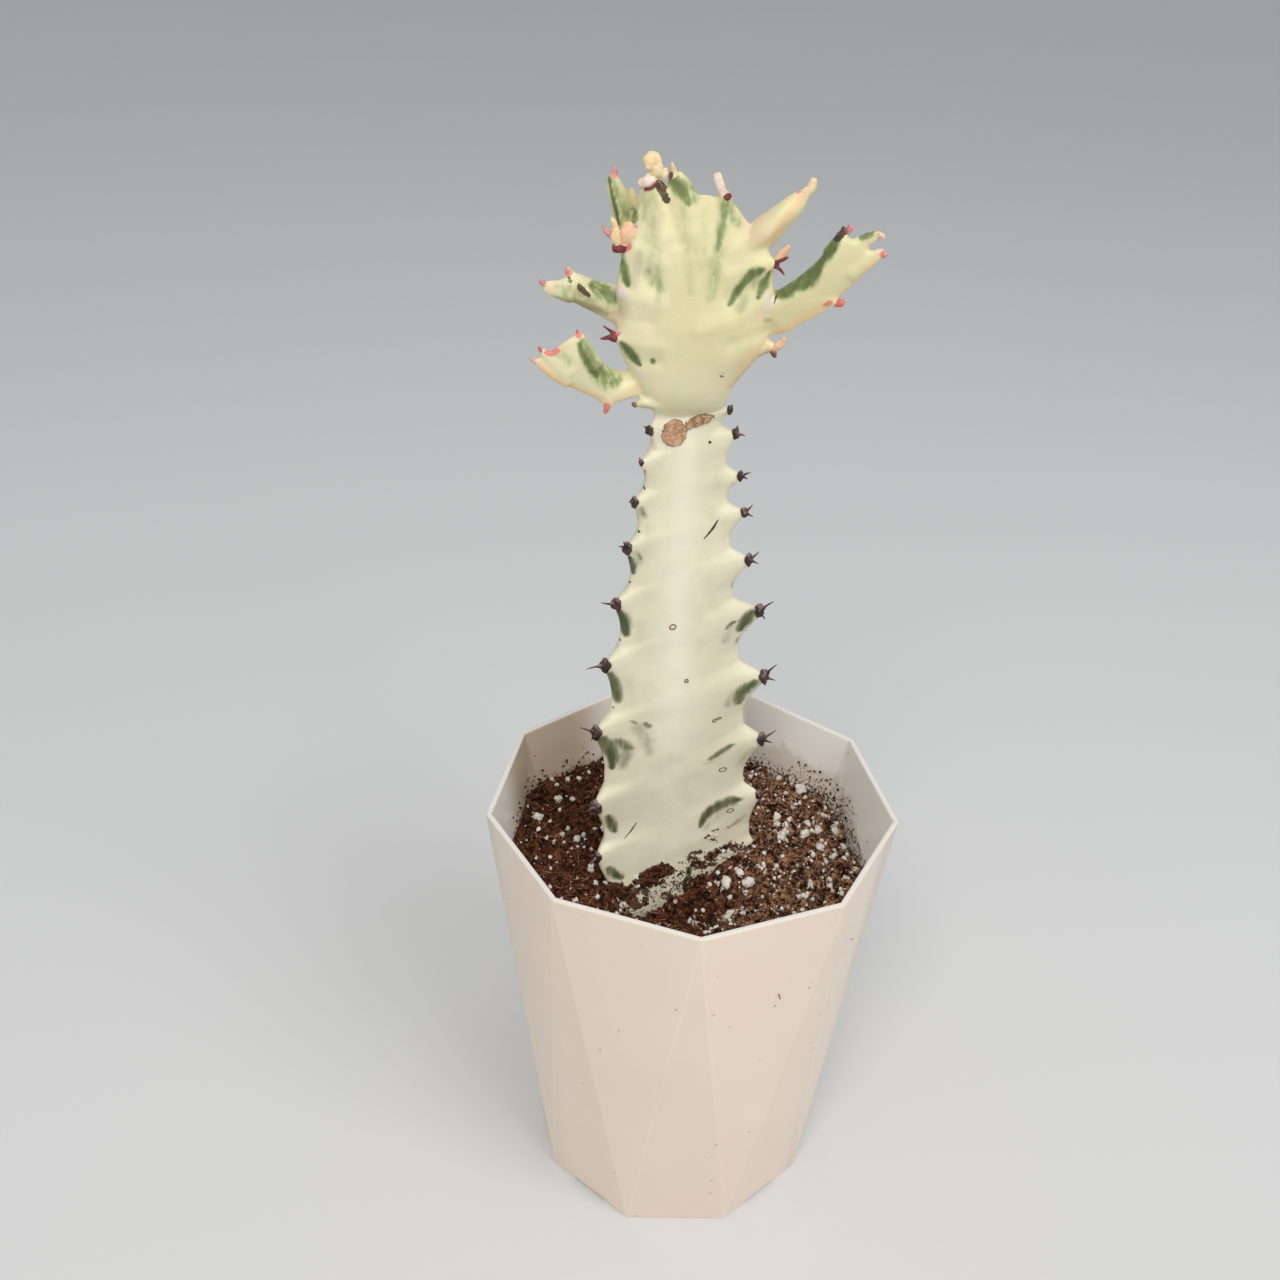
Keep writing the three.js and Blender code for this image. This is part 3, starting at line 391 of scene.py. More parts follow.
# Larger white grains on the soil: x, y and radius.
PERLITE = (
    (-40.1, 12.9, 1.4), (-35.1, 20.5, 1.2), (-32.8, 30.4, 0.8), (-29.5, 30, 0.8), (-29.5, 5.3, 1.3),
    (-33.5, 7.7, 0.8), (-37.4, 5.5, 0.6), (-32, 11.1, 0.7), (-24, 16.1, 1.1), (-22.2, 8.2, 1),
    (-25.4, -5.3, 1), (-24.1, -9, 0.8), (-17, -10.8, 0.9), (-13, -4.3, 1.1), (-35.7, -12.7, 0.6),
    (-28.8, -17.6, 0.6), (-6.2, 0.2, 0.5), (33.4, 30.9, 1.7), (36.4, 14.2, 1.2), (32.6, 12.8, 1.4),
    (25.8, 9.5, 1.5), (25.6, 19.6, 1.3), (25.6, 17.1, 1.1), (27.6, 15.5, 1), (27, 13.1, 0.8),
    (33.9, 17.9, 1), (36, 6.5, 1.3), (41.2, 13.7, 1.1), (45.6, 11.6, 1), (48, 9.3, 1.2),
    (39.8, 5.3, 0.9), (42.9, 9.8, 1.1), (10.3, -4.5, 1.6), (16.1, -4.9, 1.7), (13.8, -3, 1.1),
    (15.1, -7.4, 0.9), (10.9, -9.1, 0.7), (19.4, -0.7, 0.7), (8.8, 4.8, 0.9), (32.5, -6.9, 1.3),
    (36.8, -8, 1), (37.1, -5.4, 0.8), (32.4, -4.2, 0.7), (29, -7.1, 0.7), (11.2, -14.6, 2.2),
    (2.8, -11.2, 1.2), (1.1, -8.4, 0.9), (-0.5, -9.3, 0.8), (25.5, -13.5, 0.6), (39.9, -10, 0.8),
)

# Soil clods stuck to the stem's foot: x, z, spread, how many crumbs and the largest radius.
CLODS = (
    (-9.4, 97.6, 1.5, 60, 1.5), (-9.8, 96, 1.4, 40, 0.9), (-7, 99.6, 0.8, 16, 0.6),
    (-17.5, 94.2, 1.8, 60, 0.8), (3.3, 97.4, 1.2, 34, 0.6), (6.2, 98.8, 1.1, 36, 0.7),
    (9, 100.4, 1, 32, 0.6), (12.6, 100.2, 0.9, 22, 0.5), (-0.3, 96.4, 0.8, 14, 0.5),
    (1.4, 92, 1, 34, 0.7), (3.6, 93.4, 1.1, 34, 0.8), (-5.2, 91.6, 0.9, 14, 0.5),
    (-10.5, 90.6, 0.8, 14, 0.5), (6.4, 104.6, 0.5, 10, 0.4), (-3, 98, 2.6, 46, 0.28),
    (6, 101.5, 2.6, 26, 0.28), (-4, 93, 2.6, 34, 0.28), (-10, 92.5, 2.2, 30, 0.28),
)

# White grains stuck to the stem's foot: x, z and radius.
FOOT_GRAINS = (
    (5.7, 106.4, 0.6), (7.2, 105.6, 0.4), (9.2, 99.8, 0.7), (-6.7, 100.9, 0.4), (-13.6, 97.4, 0.95),
    (-13.3, 95.9, 0.8), (1.2, 94.6, 0.35), (12, 100.9, 0.35),
)
IN_FRONT = -35

# Kinds of marks on the skin, three to each colour attribute, and how soft their edges are. The pale
# kind also lays the painted highlight and painted light on the old stem.
CHANNELS = (
    ("green", "grey", "dark"), ("pink", "red", "peach"), ("cork", "dirt", "lilac"),
    ("scab", "olive", "pale"),
)
SOFTNESS = {
    "green": 1.75, "grey": 1.7, "dark": 0.5, "pink": 1.2, "red": 0.9, "peach": 1.2, "cork": 0.4,
    "dirt": 0.8, "lilac": 1.2, "scab": 0.6, "olive": 1.2, "pale": 1.8,
}

# Brush strokes on the front of the skin, by kind: strength, then x, z and half width along each.
STROKES = {
    "green": (
        (1.1, (-24, 269.4, 0.3), (-23.3, 266.3, 0.4), (-22.4, 263.3, 0.4), (-21.8, 260.6, 0.3)),
        (0.55, (-23.3, 269, 0.52), (-21.9, 265.8, 1.04), (-20.2, 262.8, 1.17), (-19, 261.8, 0.91)),
        (0.4, (-22.9, 268.4, 1.3), (-21.2, 264.8, 2), (-19.8, 261.6, 2)),
        (0.38, (-33, 248.8, 1.3), (-29, 248, 1.8), (-25, 247, 2.2), (-22.8, 246, 1.5)),
        (0.75, (-19.2, 263.5, 0.39), (-18.6, 263.4, 0.78), (-18.8, 262.3, 0.52)),
        (1, (-12.2, 271, 0.52), (-11, 269.8, 1.17), (-9.4, 268.2, 1.3), (-8.1, 266, 0.52)),
        (0.6, (-10.5, 270.7, 0.52), (-8.4, 268.8, 1.17), (-7.1, 267.2, 1.17)),
        (0.7, (-0.9, 267.5, 0.91), (-1.1, 264.5, 1.1), (-1.5, 261.3, 1), (-2, 258.1, 0.6)),
        (0.5, (-0.6, 266.9, 1.17), (0.3, 264.5, 1.43), (2.1, 262.3, 0.91)),
        (1.05, (-21, 254.6, 0.65), (-20.3, 252.3, 1.04), (-19.7, 250.4, 0.52)),
        (0.5, (-15.6, 253.3, 0.91), (-14.3, 251.5, 1.56), (-13.1, 249.9, 0.91)),
        (1.05, (-20.8, 238.4, 0.52), (-19.1, 236.7, 1.04), (-17.8, 235.1, 0.91),
         (-16.8, 233.9, 0.39)),
        (1.05, (7.4, 253.9, 0.52), (5.3, 253.3, 1.17), (3.4, 251.4, 0.91), (2.1, 249.3, 0.91),
         (0.8, 247.4, 0.52)), (1.05, (8.7, 253.3, 0.52), (7.8, 251, 1.04), (6.7, 248.7, 0.52)),
        (1.05, (10.7, 248.8, 0.52), (12.2, 249.6, 1.17), (13.8, 250.7, 0.78), (15.4, 251.7, 1.17),
         (17, 253.3, 1.3), (18.4, 255, 0.52)),
        (1.05, (16, 253.1, 0.52), (17.5, 254.8, 0.78), (19.1, 257.1, 0.91), (20.5, 259.4, 0.91),
         (21.4, 261.2, 0.65)), (1.05, (26, 261.3, 0.52), (27.3, 262.1, 0.91), (28.5, 263, 0.52)),
        (0.8, (-27.4, 250, 0.39), (-25.9, 249.1, 1.17), (-24.3, 248, 1.43), (-22.6, 246.9, 1.17)),
        (0.7, (-28.6, 239.2, 0.65), (-27.7, 236.8, 1.3), (-26.3, 234.2, 1.69), (-24.6, 231.7, 1.82),
         (-22.7, 230.1, 1.69), (-21.3, 230.2, 0.91)),
        (1.05, (-29.2, 238.6, 0.52), (-28.5, 236.8, 0.78), (-27.1, 234, 0.91), (-25.6, 232, 0.65)),
        (0.35, (-33.3, 236, 1.43), (-31.6, 234.8, 1.43)),
        (0.5, (-14.9, 209, 0.3), (-15, 205.9, 0.3)),
        (0.55, (-15.5, 200.5, 0.4), (-14.8, 198.6, 0.4)),
        (0.7, (-16.6, 198.7, 0.3), (-16.3, 196.9, 0.3)),
        (1, (-17.8, 188.5, 0.52), (-17.3, 186.2, 1.04), (-16.8, 184, 0.52)),
        (0.55, (-15.8, 189.4, 0.4), (-15.1, 187.9, 0.4)),
        (1.05, (-19.8, 174.9, 0.78), (-18.8, 171.6, 1.43), (-18, 168.4, 0.91)),
        (1, (-21.5, 158.3, 0.91), (-20.3, 154.6, 1.3), (-19.5, 150.7, 0.91)),
        (1.05, (-23.1, 141.1, 1.04), (-21.6, 137.7, 1.82), (-20.4, 134.7, 1.43),
         (-20.5, 131.6, 0.78)),
        (0.75, (-19.2, 139.5, 0.91), (-17.5, 137.7, 1.17), (-15.7, 136.8, 0.52)),
        (0.75, (-16, 144.9, 0.3), (-15, 144.1, 0.4)),
        (0.8, (-12.8, 143.5, 0.52), (-11.8, 142.5, 0.65)),
        (0.95, (-21.3, 117.6, 0.65), (-20.4, 114.9, 1.17), (-19.6, 112.5, 0.78)),
        (0.95, (-20.7, 102.1, 0.78), (-19.4, 100.3, 1.17), (-17.5, 98.8, 0.78)),
        (0.35, (5.1, 204.4, 0.3), (4.8, 202.2, 0.4)), (0.7, (7.1, 178.6, 0.4), (7, 177.4, 0.4)),
        (1.05, (11.8, 171.5, 0.78), (10.5, 169.4, 1.43), (9.3, 166.9, 0.91)),
        (0.95, (8.3, 169.4, 0.3), (6.9, 168.7, 0.4), (5.8, 167.4, 0.3)),
        (0.5, (9, 163.8, 0.4), (8.7, 162.4, 0.4)),
        (0.95, (14, 151.8, 0.78), (12.2, 150.2, 1.43), (10.6, 148.2, 1.56), (10.3, 145.7, 0.91)),
        (0.85, (10.1, 133.6, 0.26), (8.3, 132.8, 0.65), (6.3, 131.5, 0.65), (4.1, 130.2, 0.52)),
        (1.05, (13.1, 115.7, 0.52), (10.5, 115.7, 1.17), (7.3, 114.9, 1.43), (4.8, 113.6, 1.3),
         (3.3, 111.5, 0.91), (2.6, 109.4, 0.39)), (1.05, (-14.1, 235, 0.65)),
        (0.42, (-23.1, 268, 0.8), (-21.6, 263.5, 1.7), (-20.2, 259.5, 2.2)),
        (0.38, (-34, 250, 0.8), (-30.5, 249.2, 1.7), (-26, 247.8, 2), (-21.5, 246, 2.2)),
        (0.3, (-15.6, 267.5, 1.1), (-15.2, 262, 1.5), (-14.2, 254, 1.5), (-13.6, 248, 0.8)),
        (0.26, (-9.2, 266, 1.3), (-7.8, 258, 1.4), (-7.2, 250, 0.9)),
        (0.2, (-4.9, 264, 0.9), (-5.2, 255, 1.2)),
        (0.36, (-1, 265.5, 1), (-1.9, 258, 1.5), (-3, 249, 1.2)),
        # Painted shadow: the dark-green streak in the hollow at the stem's foot.
        (1.2, (0.3, 97, 0.5), (0.6, 94, 0.7), (1.2, 91, 0.6)),
    ),
    "grey": (
        (0.55, (-16.6, 268.2, 0.7), (-16.9, 265.5, 0.9), (-17.1, 263.1, 0.7)),
        (0.4, (-14.8, 267.2, 0.7), (-13.9, 264.3, 1.1), (-13.6, 261.5, 0.9)),
        (0.4, (-1.3, 260.4, 0.9), (-2.4, 257.4, 1.1), (-3.1, 254.8, 0.9)),
        (0.45, (-17.5, 256.8, 0.9), (-18, 253.7, 1.3), (-18.5, 250.5, 1.1)),
        (0.6, (6.2, 252.3, 1.1), (4.6, 249.6, 1.8), (3.1, 246.9, 1.3)),
        (0.6, (-13.8, 215.6, 0.7), (-13.1, 213.9, 0.7)),
        (0.6, (-15.5, 200.3, 0.9), (-14.8, 198.1, 0.9)),
        (0.5, (-16.1, 189.7, 0.9), (-15.5, 186.9, 1.1)),
        (0.5, (-17.7, 173.7, 0.9), (-16.9, 170.3, 0.9)),
        (0.5, (-19.1, 154.4, 0.9), (-18.5, 150.9, 0.9)),
        (0.85, (-19.2, 139.2, 1.3), (-17.2, 136.4, 2), (-18.1, 132.3, 1.6)),
        (0.55, (-14.4, 142.6, 1.8), (-12.4, 139.3, 2.2), (-11.3, 135, 1.3)),
        (0.5, (-20.2, 117.1, 0.9), (-19.4, 113.4, 0.9)), (0.35, (2, 207.4, 1.3), (1.2, 204.5, 1.8)),
        (0.3, (0.7, 197.1, 1.6), (3.1, 195.6, 1.6)), (0.6, (6.8, 167.3, 1.1), (6.1, 163.9, 1.1)),
        (0.6, (9.5, 149.1, 1.6), (8, 145.6, 1.3)),
        (0.45, (8.6, 132.5, 0.9), (5.6, 130.2, 1.1), (3.1, 128.9, 0.7)),
        (0.5, (14.9, 131.6, 0.8), (13, 128.6, 1.1), (11.6, 126.2, 0.8)),
        (0.5, (11.6, 114.4, 0.9), (6.5, 111.3, 1.3), (4.2, 108.7, 0.9)),
        (0.8, (14.6, 109.9, 0.5), (12.9, 108.2, 0.8), (11, 107.1, 0.5)),
        # The next six broad, faint strokes are painted shade on the old stem's face.
        (0.28, (-13.2, 207, 1.8), (-13, 203, 2)), (0.28, (-14, 195, 1.8), (-14.2, 190, 2)),
        (0.26, (-14.6, 170, 2.2), (-15, 164, 2.4)), (0.28, (-17.4, 156, 2), (-17, 150, 2.4)),
        (0.22, (-1, 170, 2.6), (-0.5, 163, 2.6)), (0.26, (2, 179, 2.4), (3, 174, 2.2)),
        (0.2, (-6, 131, 4), (-3, 121, 4)),
        (0.5, (2.9, 228.6, 0.9), (6.3, 232.8, 1), (9.7, 237, 0.9)),
        (0.2, (-9, 266, 5), (-3, 262, 5), (3, 258, 4.5)),
        (0.2, (7, 250, 3.5), (8.5, 243, 3.5), (4, 233, 3)),
        (0.32, (-15.8, 266, 1.8), (-16, 259, 2), (-15, 253, 2.2)),
        (0.3, (-5.5, 262, 1.5), (-6.5, 255, 1.8)),
    ),
    "scab": (
        (1.1, (-14.3, 269, 0.6), (-13.3, 267.8, 0.7), (-12.4, 266.5, 0.7)),
        (1.25, (-29.7, 250.2, 0.3), (-28.7, 249.3, 0.5), (-27.5, 248.3, 0.4)),
    ),
    "olive": (
        (0.8, (-21.1, 257.3, 0.6), (-21, 254.6, 0.7)), (0.6, (8.6, 243.8, 0.5), (9.7, 243.5, 0.4)),
        # The last stroke, under the head's lowest left tooth above the neck, is painted shade.
        (0.9, (-34.9, 247.6, 0.4), (-32.3, 247.1, 0.8), (-29.3, 246.1, 1), (-26.3, 245.1, 1),
         (-24, 244.1, 0.7)), (0.5, (-18.6, 225.7, 0.5), (-16.5, 224.7, 0.9), (-14.3, 223.3, 0.9)),
    ),
    "dark": (
        (0.9, (20.6, 258.5, 0.1), (21.1, 259.5, 0.1)),
        (0.9, (10.1, 247.3, 0.2), (10.5, 248.5, 0.2)),
        (0.5, (-26.6, 249.8, 0.1), (-24.5, 249.2, 0.2), (-22.7, 248.5, 0.1)),
        # The first stroke here is a painted shadow down the hollow at the stem's foot.
        (0.9, (-0.4, 94.7, 0.4), (-0.5, 91.2, 0.7), (1.1, 87.1, 0.4)), (1, (-15.8, 194.1, 0.34)),
        (1, (-17.4, 181.4, 0.34)), (1, (-19.3, 166.3, 0.34)), (1, (-20.4, 178.1, 0.34)),
        (1, (-14.9, 204.4, 0.34)), (1, (-0.7, 214.5, 0.4)), (1, (-20.4, 148.5, 0.34)),
        (0.7, (-2.7, 253.2, 0.34)), (0.7, (-31.3, 251, 0.5)),
        (0.9, (21.2, 261.2, 0.9), (22.4, 262.4, 0.8)),
        (0.6, (-21.4, 258, 0.7), (-20.4, 258.3, 0.7)),
    ),
    "peach": (
        (1, (11.6, 240.4, 0.7), (15, 243.8, 0.9), (17.8, 246, 0.9), (20.1, 247.6, 0.9)),
        (0.55, (22.4, 249, 0.7), (25.8, 252.7, 0.7), (28.8, 257, 0.7)),
        (0.4, (-31.3, 250, 0.7), (-27.3, 247.2, 0.7), (-24, 245.5, 0.7)),
        (1, (-37.3, 234.4, 0.7), (-34.3, 230.9, 1), (-30.8, 228.8, 1.1), (-27.1, 227.1, 1),
         (-24.5, 226.3, 0.9)), (0.6, (-22.8, 225.9, 0.7), (-19.7, 226.7, 0.9), (-17, 228.7, 0.9)),
        (0.9, (8.7, 259.7, 0.9), (10.2, 263, 0.9), (12.4, 266.1, 0.8), (14.2, 268.8, 0.7)),
        (0.5, (9, 238, 1.5), (6, 234, 2.5), (4, 229, 2.5)),
    ),
    "pink": (
        (1, (27.3, 260.5, 0.4), (29.2, 259.3, 0.8), (30.1, 258.6, 0.6)),
        (0.8, (-36.7, 237.6, 0.6), (-34.7, 237.4, 0.9), (-32.2, 238.3, 0.6)),
        (0.9, (-38.2, 235.6, 0.4), (-37.3, 234.5, 0.6)),
        (0.6, (-21.6, 246.2, 1.3), (-21.6, 244.1, 1.6), (-22.3, 241.3, 0.9)),
        (0.5, (8, 245.3, 1.1), (6.4, 244.2, 1.1)),
        (0.8, (3.3, 262.6, 0.9), (4.7, 261.5, 1.3), (6.2, 260.3, 1.3)),
        (0.5, (8.2, 264.2, 0.9), (6.2, 262.2, 1.3), (4, 260.1, 1.3)), (0.8, (-37.6, 234.9, 0.9)),
        (0.8, (-35.1, 250, 1.2)), (0.7, (13.9, 268.4, 1)),
    ),
    "red": (
        (0.8, (20.1, 247.6, 0.3), (21.1, 248.2, 0.7)),
        (1.1, (-36.1, 236.7, 0.4), (-34.9, 236.6, 0.7), (-33.7, 237.2, 0.4)),
        (0.7, (12.9, 270.7, 0.3), (13.8, 269.5, 0.6), (13.2, 268.6, 0.3)),
        (0.35, (-8.6, 212.7, 0.6)), (0.9, (-31.6, 252.3, 0.8)), (0.9, (30.6, 258.4, 0.8)),
        (0.6, (29.2, 262, 0.6)), (0.8, (-29.6, 240.4, 0.8)), (0.6, (-36.4, 250.2, 0.7)),
        (0.9, (-23.5, 224.8, 0.9)),
        (1.1, (-22, 256.9, 0.8), (-20.8, 257.4, 1), (-19.8, 257.8, 0.7)),
        (0.8, (-18.3, 261.5, 0.4)), (0.9, (-22.9, 270, 0.8)), (0.6, (-12.2, 270.6, 0.6)),
    ),
    "lilac": (
        (0.9, (-19, 232.8, 0.4), (-17.5, 232.3, 0.5), (-16.3, 231.6, 0.4)),
        (1, (-21.9, 248.7, 0.8), (-20.9, 248.7, 1.1)), (1, (8.8, 248.5, 0.9), (8.8, 246.7, 1)),
        (0.8, (-18.4, 261.6, 0.8)),
    ),
    "dirt": (
        (1.6, (-11.8, 97.9, 1.1), (-9.5, 98.3, 2), (-6.4, 98.4, 1.8), (-4.2, 97.3, 0.9)),
        (1.5, (-22.1, 97.3, 1.1), (-18.8, 95.5, 1.6), (-15.1, 92.7, 1.6), (-13.4, 90.1, 1.1)),
        (1.1, (-13.5, 94.3, 1.1), (-10.9, 93.2, 1.1), (-11.3, 90.1, 0.9)),
        (0.9, (3.1, 101.3, 0.7), (0.4, 100.9, 1.1), (3.3, 96.9, 1.3), (7.1, 96.8, 1.3)),
        (0.9, (9, 100.9, 0.9), (13.5, 99.5, 1.1), (16.4, 97.1, 0.9)),
        (0.7, (-2.1, 96.7, 0.9), (-3.2, 92.2, 1.1), (0.8, 93.4, 1.3)),
        (1.3, (-6.1, 91, 1.1), (-2.2, 87.5, 1.1), (1.7, 85.6, 1.3)),
        (0.9, (4.4, 105.4, 0.3), (6.2, 107.2, 0.4), (7.8, 107.6, 0.3)),
    ),
    "cork": ((0.35, (0.5, 231.9, 0.75)), (0.3, (-6, 224, 0.7))),
    "pale": (
        (0.36, (-15.5, 250, 4), (-15, 240, 4.5), (-11, 229, 4.5)),
        (0.24, (-9, 226, 5), (-2, 224, 4)),
    ),
}

# Camera and lights, in metres and degrees.
CAMERA_AT = (-0.02179, -0.26487, 0.32488)
CAMERA_TURN = (58.996, -1.764, -0.484)
SENSOR_WIDTH = 36
LENS = SENSOR_WIDTH * 1310 / 1280
LIGHT_TARGET = (0, 0, 0.14)
FLOOR_SIZE = 14

ELEMENTS = {"VERT": "verts", "EDGE": "edges", "FACE": "faces"}


def in_metres(points):
    return (np.asarray(points, float).reshape(-1, 3) + (0, AXIS_SHIFT, 0)) * MM


def from_metres(points):
    return np.asarray(points) / MM - (0, AXIS_SHIFT, 0)


def read_vertices(piece, what):
    flat = np.empty(len(piece.data.vertices) * 3, np.float32)
    piece.data.vertices.foreach_get(what, flat)
    return flat.reshape(-1, 3).astype(float)


def coordinates(piece):
    return read_vertices(piece, "co")


def normals(piece):
    return read_vertices(piece, "normal")


def in_millimetres(piece):
    return from_metres(coordinates(piece))


def set_coordinates(piece, points):
    piece.data.vertices.foreach_set("co", np.asarray(points, np.float32).ravel())
    piece.data.update()


def clear_selection():
    if bpy.context.object and bpy.context.object.mode != "OBJECT":
        bpy.ops.object.mode_set(mode="OBJECT")
    bpy.ops.object.select_all(action="DESELECT")


def only(*pieces):
    clear_selection()
    for piece in pieces:
        piece.select_set(True)
    bpy.context.view_layer.objects.active = pieces[0]


def edit(piece):
    """Goes into edit mode on the piece, with all of it selected."""
    only(piece)
    bpy.ops.object.mode_set(mode="EDIT")
    bpy.ops.mesh.select_mode(type="VERT")
    bpy.ops.mesh.select_all(action="SELECT")


def choose(piece, kind, test):
    """Selects only the vertices, edges or faces that pass the test, in edit mode."""
    bpy.ops.mesh.select_mode(type=kind)
    bpy.ops.mesh.select_all(action="DESELECT")
    form = bmesh.from_edit_mesh(piece.data)
    for element in [e for e in getattr(form, ELEMENTS[kind]) if test(e)]:
        element.select_set(True)
    bmesh.update_edit_mesh(piece.data)


def leave_edit():
    bpy.ops.object.mode_set(mode="OBJECT")


def face_outwards(piece):
    edit(piece)
    bpy.ops.mesh.normals_make_consistent(inside=False)
    leave_edit()


def apply_modifier(piece, kind, **settings):
    only(piece)
    modifier = piece.modifiers.new(kind.title(), kind)
    for key, value in settings.items():
        setattr(modifier, key, value)
    bpy.ops.object.modifier_apply(modifier=modifier.name)


def roughen(piece, grain, height, depth=2, shift=0.0, basis="BLENDER_ORIGINAL"):
    """Pushes the surface in and out by a cloud pattern of this grain and height, in metres."""
    texture = bpy.data.textures.new(piece.name + "_clouds", "CLOUDS")
    texture.noise_scale = grain
    texture.noise_depth = depth
    texture.noise_basis = basis
    set_coordinates(piece, coordinates(piece) + shift)
    apply_modifier(piece, "DISPLACE", texture=texture, strength=height, mid_level=0.5,
                   texture_coords="LOCAL")
    set_coordinates(piece, coordinates(piece) - shift)


def push_out(piece, lift):
    """Moves every vertex along its normal by this many millimetres."""
    set_coordinates(piece, coordinates(piece) + normals(piece) * lift[:, None] * MM)


def mesh_piece(name, vertices, faces):
    mesh = bpy.data.meshes.new(name)
    mesh.from_pydata(np.asarray(vertices).tolist(), [], np.asarray(faces).tolist())
    piece = bpy.data.objects.new(name, mesh)
    bpy.context.scene.collection.objects.link(piece)
    return piece


def named(piece, name):
    piece.name = piece.data.name = name
    return piece


def dress(piece, material=None, nodes=(), smooth=True, angle=None):
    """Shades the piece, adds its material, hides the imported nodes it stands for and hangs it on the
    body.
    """
    only(piece)
    if angle is not None:
        bpy.ops.object.shade_smooth_by_angle(angle=math.radians(angle))
    elif smooth:
        bpy.ops.object.shade_smooth()
    if material:
        piece.data.materials.append(material)
    if nodes:
        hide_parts(*nodes)
    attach(piece, BODY)
    clear_selection()


def smoothly(low, high, value):
    share = np.clip((np.asarray(value, float) - low) / (high - low), 0, 1)
    return share * share * (3 - 2 * share)


def along(rows, heights):
    """Smooth values at these heights, through rows of height and values."""
    rows = np.asarray(rows, float)
    heights = np.clip(np.asarray(heights, float), rows[0, 0], rows[-1, 0])
    i = np.clip(np.searchsorted(rows[1:-1, 0], heights), 0, len(rows) - 2)
    a, b = rows[i], rows[i + 1]
    before, after = rows[np.maximum(i - 1, 0)], rows[np.minimum(i + 2, len(rows) - 1)]
    span = (b[:, 0] - a[:, 0])[:, None]
    t = (heights[:, None] - a[:, :1]) / span
    slope_in = (b - before)[:, 1:] / (b - before)[:, :1] * span
    slope_out = (after - a)[:, 1:] / (after - a)[:, :1] * span
    steep = 2 * t ** 3 - 3 * t ** 2
    bend = (t ** 3 - 2 * t ** 2 + t) * slope_in + (t ** 3 - t ** 2) * slope_out
    return (steep + 1) * a[:, 1:] - steep * b[:, 1:] + bend


def through(points, shares):
    """Smooth curve through points, at shares from 0 to 1 of its length."""
    points = np.asarray(points, float)
    steps = np.linalg.norm(np.diff(points[:, :3], axis=0), axis=1)
    at = np.concatenate([[0], np.cumsum(steps)]) / steps.sum()
    return along(np.column_stack([at, points]), shares)


def ringed_cylinder(name, sides, rows):
    """A cylinder with this many rings of side faces, and each vertex's ring and place on it."""
    clear_selection()
    bpy.ops.mesh.primitive_cylinder_add(vertices=sides, radius=1, depth=1, end_fill_type="TRIFAN")
    piece = named(bpy.context.object, name)
    if rows > 1:
        edit(piece)
        choose(piece, "EDGE", lambda e: abs(e.verts[0].co.z - e.verts[1].co.z) > 0.5)
        bpy.ops.mesh.subdivide_edgering(number_cuts=rows - 1, interpolation="LINEAR")
        leave_edit()
    co = coordinates(piece)
    centre = np.hypot(co[:, 0], co[:, 1]) < 0.5
    row = np.round((0.5 - co[:, 2]) * rows).astype(int)
    step = np.round(np.arctan2(co[:, 0], co[:, 1]) / (2 * math.pi) * sides).astype(int) % sides
    return piece, row, step, centre


def three_sided(name, corners, teeth, bulge, steps):
    """A body of three edges joined by bulging faces; corners, teeth: edge by row by x, y, z."""
    rows = corners.shape[1] - 1
    piece, row, step, centre = ringed_cylinder(name, 3 * steps, rows)
    face = step // steps % 3
    following = (face + 1) % 3
    share = ((step % steps) / steps)[:, None]
    start, end = corners[face, row], corners[following, row]
    outward = (start + end) / 2 - corners.mean(axis=0)[row]
    outward /= np.linalg.norm(outward, axis=1)[:, None]
    points = start + (end - start) * share
    points += outward * (bulge[row][:, None] * (4 * share * (1 - share)) ** FACE_ROUNDNESS)
    for corner, away in ((face, share), (following, 1 - share)):
        rounded = np.sqrt(away * away + 0.0004) - 0.02
        points += teeth[corner, row] * (1 - rounded) ** TOOTH_SPREAD
    for end_row in (0, rows):
        ring = points[(row == end_row) & ~centre]
        points[centre & (row == end_row)] = ring.mean(axis=0)
    set_coordinates(piece, in_metres(points))
    face_outwards(piece)
    return piece


def limb(name, points, sides=12, rows=8, blunt=0.55):
    """A horn, lobe or leaflet along points of x, y, z, half width and half depth."""
    shares = np.concatenate([[0, 0, 0], np.linspace(0, 1, rows - 1), [1, 1, 1]])
    swell = np.concatenate([[0.3, 0.75, 0.95], np.ones(rows - 1), [0.95, 0.75, 0.3]])
    poke = np.concatenate([[-1, -0.72, -0.35], np.zeros(rows - 1), [0.35, 0.72, 1]]) * blunt
    path = through(points, shares)
    before, after = [through(points, np.clip(shares + s, 0, 1))[:, :3] for s in (-0.02, 0.02)]
    ahead = after - before
    ahead /= np.linalg.norm(ahead, axis=1)[:, None]
    depth_way = np.array([0.0, 1.0, 0.0]) - ahead * ahead[:, 1:2]
    depth_way /= np.linalg.norm(depth_way, axis=1)[:, None]
    across = np.cross(ahead, depth_way)
    centres = path[:, :3] + ahead * (poke * np.minimum(path[:, 3], path[:, 4]))[:, None]
    piece, row, step, centre = ringed_cylinder(name, sides, rows + 4)
    row = np.minimum(row, len(shares) - 1)
    angle = step / sides * 2 * math.pi
    wide = (np.cos(angle) * path[row, 3] * swell[row])[:, None]
    deep = (np.sin(angle) * path[row, 4] * swell[row])[:, None]
    ring = centres[row] + across[row] * wide + depth_way[row] * deep
    set_coordinates(piece, in_metres(np.where(centre[:, None], centres[row], ring)))
    face_outwards(piece)
    return piece


def fused(name, pieces):
    only(*pieces)
    if len(pieces) > 1:
        bpy.ops.object.join()
    return named(bpy.context.object, name)


